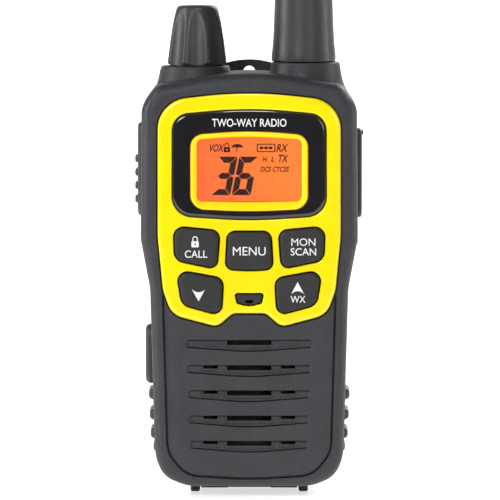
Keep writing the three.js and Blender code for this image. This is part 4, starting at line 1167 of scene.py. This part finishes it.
def battery_door():
    inner = REAR_Y - DOOR_THICK
    door = body_slab("door", REAR_Y, SEAM_Y, EDGE)
    keep(door, box(-DOOR_X, DOOR_X, inner, REAR_Y, BASE_Z - 1, HINGE_Z))
    lip = box(-LIP_X, LIP_X, -8.7, inner + 0.4, 1.0, 2.0)
    notch = [(-6.6, -20), (6.6, -20), (5.6, -7.4), (-5.6, -7.4)]
    cut(lip, prism(notch, -5, 5, top))
    join(door, lip, box(-LIP_X, LIP_X, inner, REAR_Y - 0.4, 1.0, 7.2),
         rod(inner + 0.8, HINGE_Z, 0.8, -DOOR_X, DOOR_X, side))
    cut(door, box(-3.1, 3.1, -40, 40, 5.5, 11.1))
    for i in range(6):
        z = 20 + i * 4.2
        cut(door, block(-11, 11, z, z + 1.3, 0.6, REAR_Y - 0.35, REAR_Y + 2))
    place(soften(door, 0.2), casing, "battery_door", slot="casing", nodes=["battery_door"])

    latch = plate("latch", rectangle(-4.2, 4.2, 5, 9.6, 0.8), rounded(9.65, 10.6, 0, 0.3))
    join(latch, box(-2.8, 2.8, 7.6, 9.8, 5.7, 9.2), box(-4.1, 4.1, 7.3, 7.75, 5.1, 9))
    for i in range(3):
        z = 6.1 + i * 1.2
        ridge = plate("ridge", rectangle(-3.4, 3.4, z, z + 0.6, 0.25), rounded(10.4, 10.9, 0, 0.2))
        join(latch, ridge)
    place(soften(latch, 0.12), black_plastic, "battery_latch", slot="black_plastic", nodes=["battery_latch"])


PIVOT = (15.8, 93.0)     # of the belt clip, as y and z
EAR_X = (8.7, 10.6)


def arched(x0, x1, radius, foot_y):
    """A lug from foot_y that ends in a round eye about the clip's pivot."""
    y, z = PIVOT
    near, far = sorted((y, foot_y))
    lug = box(x0, x1, near, far, z - radius, z + radius)
    return join(lug, rod(y, z, radius, x0, x1, side))


def clip_bracket():
    base = plate("bracket", rectangle(-10.6, 10.6, 84, 102.4, 1.6), rounded(9.8, 13.5, 0, 0.6))
    cut(base, box(-4.9, 4.9, 9, 12.6, 80, 100.3), box(-7.3, 7.3, 10.6, 12.6, 80, 100.3))
    for x0, x1 in (EAR_X, (-EAR_X[1], -EAR_X[0])):
        join(base, arched(x0, x1, 2, 13))
    cut(base, rod(*PIVOT, 1.25, -12, 12, side))
    place(soften(base, 0.25), black_plastic, "clip_bracket", slot="black_plastic", nodes=["clip_bracket"])
    pin = skin("pin", [[side(a, b, x) for a, b in circle(*PIVOT, r)] for r, x in
                       ((0.75, -10.8), (1, -10.6), (1, 10.6), (0.75, 10.8))])
    place(smooth(pin), steel, "clip_bracket", slot="steel", nodes=["clip_pin"])
    line = winding(4.5, 160, lambda share, a: (6 * share - 3, PIVOT[0] + 1.75 * math.cos(a),
                                               PIVOT[1] + 1.75 * math.sin(a)))
    place(smooth(tube("spring", line, 0.4)), steel, "clip_bracket", slot="steel", nodes=["clip_spring"])


def belt_clip():
    """A long curved spring lever; its arched top shows between the knob and the antenna."""
    knots = [Vector(p) for p in ((19.5, 114.0), (19.42, 109), (19.35, 104), (19.3, 97), (19.0, 90.5),
                                 (17.9, 85), (16.2, 80), (14.4, 74), (12.95, 68.6), (12.5, 65.4),
                                 (13.0, 63.3), (14.2, 61.6))]
    line = []
    for i in range(1, len(knots) - 2):
        a, b, c, d = knots[i - 1], knots[i], knots[i + 1], knots[i + 2]
        for k in range(6):
            t = k / 6
            line.append(0.5 * (2 * b + (c - a) * t + (2 * a - 5 * b + 4 * c - d) * t ** 2
                               + (3 * b - a - 3 * c + d) * t ** 3))
    line = [knots[0]] + line + knots[-2:]
    half = 1.0
    faces = {1: [], -1: []}
    for i, point in enumerate(line):
        along = (line[min(i + 1, len(line) - 1)] - line[max(i - 1, 0)]).normalized()
        for sign in faces:
            faces[sign].append(point + Vector((along.y, -along.x)) * sign * half)
    strip = [tuple(p) for p in faces[1] + faces[-1][::-1]]
    clip = prism(strip, -13.5, 13.5, side, "belt_clip")
    front_edge = [(12, 61, 5), (13.5, 80, 20), (13.5, 110.2, 6), (0, 114.6, 30)]
    keep(clip, prism(outline(mirrored(front_edge)), 0, 40))
    for x0, x1 in ((4.4, 8.2), (-8.2, -4.4)):
        join(clip, arched(x0, x1, 2, 18.8))
    cut(clip, rod(*PIVOT, 1.25, -12, 12, side), rod(0, 110.2, 1.6, 0, 40, front))
    for i in range(5):
        z = 101.5 + i * 1.5
        cut(clip, block(-7, 7, z, z + 0.7, 0.3, 20.15, 22))
    place(soften(clip, 0.3, 35, 3), black_plastic, "belt_clip", slot="black_plastic", nodes=["belt_clip"])


housing_screws()
battery_door()
clip_bracket()
belt_clip()


# ---- Inside: loudspeaker, microphone, board, cells and contacts ----
def loudspeaker():
    z = SPEAKER_Z
    parts = [
        ("gasket", seal_rubber, "seal_rubber", "speaker_gasket", True,
         [(13.5, -16.75), (13.6, -16.85), (16.9, -16.85), (17, -16.75), (17, -16.35), (16.9, -16.25),
          (13.6, -16.25), (13.5, -16.35)]),
        ("basket", steel, "steel", "speaker_frame", True,
         [(14.2, -16.1), (16.9, -16.1), (17, -16), (17, -15.4), (16.9, -15.3), (14.6, -15.3), (13.9, -14.6),
          (9.8, -11.4), (9.6, -11.1), (9.6, -10.3), (3, -10.3), (3, -11), (8.6, -11), (8.9, -11.2),
          (13.4, -14.9), (14.2, -14.9)]),
        ("cone", cone_paper, "cone_paper", "speaker_cone", False,
         [(0, -13.7), (1.5, -13.65), (3, -13.45), (4.2, -13.1), (4.8, -12.75), (5.1, -12.75), (7.5, -13.7),
          (10.3, -14.75), (11.2, -15), (11.6, -15.5), (12.2, -15.8), (12.8, -15.75), (13.2, -15.5),
          (13.6, -15.4), (13.2, -15.2), (12.6, -15.4), (12.0, -15.3), (11.4, -14.6), (10.3, -14.2),
          (7.5, -13.1), (5, -12.1), (0, -12.1)]),
        ("magnet", nickel, "nickel", "speaker_magnet", False,
         [(0, -10.1), (7.8, -10.1), (8, -9.9), (8, -8.6), (7.7, -8.5), (7.7, -7.9), (8, -7.8), (8, -6.6),
          (7.8, -6.4), (3, -6.4), (2.8, -6.7), (0, -6.7)]),
    ]
    for name, look, slot, node, ring, profile in parts:
        place(smooth(spun(name, profile, 0, z, 96, ring), 40), look, slot=slot, nodes=[node])
    cup = [(1, -16.8), (2.9, -16.8), (3.1, -16.6), (3.1, -13.35), (2.2, -13.35), (2.2, -15.9), (1, -15.9)]
    boot = spun("boot", cup, 0, MIC_Z, closed=True)
    place(smooth(boot, 40), seal_rubber, slot="rubber", nodes=["mic_boot"])
    can = [(0, -15.55), (0.35, -15.55), (0.4, -15.7), (1.8, -15.7), (1.95, -15.55), (1.95, -13.65),
           (1.8, -13.5), (0, -13.5)]
    capsule = spun("capsule", can, 0, MIC_Z)
    place(smooth(capsule, 40), black_plastic, slot="nickel", nodes=["mic_capsule"])


def electronics():
    board = keep(body_slab("board", -13.2, -12, inset=3.2), box(-40, 40, -40, 0, 45.5, 103.5))
    x, z = SCREWS[0]
    cut(board, rod(x, z, 2.9, -40, 0, front), rod(-x, z, 2.9, -40, 0, front))
    chips = [    # x, z, width, height and thickness
        (-17, 56, 4, 5, 0.7), (-6, 52, 6, 6, 0.6), (6, 55, 3, 2, 0.8), (15, 53, 5, 3, 0.7),
        (-18, 68, 2, 4, 0.6), (17.5, 66, 3, 4, 0.7), (0, 99.8, 8, 3, 0.7), (9, 50.5, 1.2, 2.4, 0.5),
        (-12, 59, 1.2, 2.4, 0.5),
    ]
    for cx, cz, width, height, thick in chips:
        join(board, box(cx - width / 2, cx + width / 2, -12.1, -12 + thick, cz - height / 2, cz + height / 2))
    place(soften(board, 0.08), board_green, slot="board_green", nodes=["main_board"])
    can = plate("shield", rectangle(-12.5, 12.5, 62, 96, 0.8), rounded(-11.85, -9, 0, 0.4))
    cut(can, *[rod(-9 + i * 3.6, 66 + j * 5, 0.6, -9.3, -8, front) for i in range(6) for j in range(6)])
    place(soften(can, 0.08), nickel, slot="nickel", nodes=["shield_can"])
    tray = plate("tray", rectangle(-16.2, 16.2, 74.6, 96.7, 0.6), rounded(-16.15, -13.35, 0.25, 0.25))
    cut(tray, *[box(-14 + i * 7, -10 + i * 7, -14, -13, 78, 93) for i in range(5)])
    place(soften(tray, 0.1), white_plastic, slot="white_plastic", nodes=["backlight_tray"])
    mat = plate("mat", rectangle(-20.6, 20.6, 47.6, 71.4, 1.5), rounded(-14.95, -13.35, 0.3, 0.1))
    cut(mat, box(-4, 4, -40, 0, 40, 54.6))
    for cx, cz in ((-14.1, 65.5), (0, 64.2), (14.1, 65.5), (-13, 53.4), (13, 53.4)):
        cut(mat, spun("cutter", [(3.0, -16), (4.4, -16), (4.4, -14.75), (3.0, -14.75)], cx, cz, 48, True))
    place(soften(mat, 0.12), seal_rubber, slot="rubber", nodes=["keypad_mat"])


def cells():
    pitch, y, base, length = 11.3, 1.9, 7.65, 44.5
    for i, name in enumerate(("left", "middle", "right")):
        heights = [(0, 0), (3.6, 0), (3.8, 0.25), (4.6, 0.25), (5.05, 0.05), (5.25, 0.5), (5.25, length - 0.9),
                   (5.1, length - 0.35), (4.7, length - 0.05), (3.4, length - 0.1), (3.2, length),
                   (1.95, length), (1.9, length + 0.6), (1.75, length + 0.8), (0, length + 0.8)]
        if name == "middle":    # upside down, as its contacts need
            rows = [(r, base + length - h) for r, h in heights][::-1]
        else:
            rows = [(r, base + h) for r, h in heights]
        cell = smooth(lathe("cell", rows, (i - 1) * pitch, y, 72), 40)
        place(cell, cell_sleeve, slot="cell_wrap", nodes=[f"cell_{name}"])
    contacts = [    # name, ends in x, whether over the cells, and where its spring and its stud are
        ("contact_minus", -pitch, -pitch, False, -pitch, None),
        ("contact_link_lower", 0, pitch, False, pitch, 0),
        ("contact_link_upper", -pitch, 0, True, 0, -pitch),
        ("contact_plus", pitch, pitch, True, None, pitch),
    ]
    for name, x0, x1, at_top, spring, stud in contacts:
        near = 55.05 if at_top else 4.35
        strip = block(x0 - 4.6, x1 + 4.6, -2.7, 6.5, 0.8, near, near + 0.4, top, name)
        if stud is not None:
            reach = (near - 1.9, near + 0.2) if at_top else (near + 0.2, near + 2.3)
            join(strip, rod(stud, y, 1.7, *reach, top))
        soften(strip, 0.08)
        if spring is not None:
            foot_z = near + 0.2 - (2.75 if at_top else 0)

            def spot(share, angle):
                radius = 2.2 + 1.2 * abs(share - (0 if at_top else 1))
                return spring + radius * math.cos(angle), y + radius * math.sin(angle), foot_z + 2.75 * share

            wire = tube("spring", winding(3, 90, spot), 0.3)
            strip = smooth(merged(name, [strip, wire]))
        place(strip, nickel, slot="nickel", nodes=[name])


loudspeaker()
electronics()
cells()
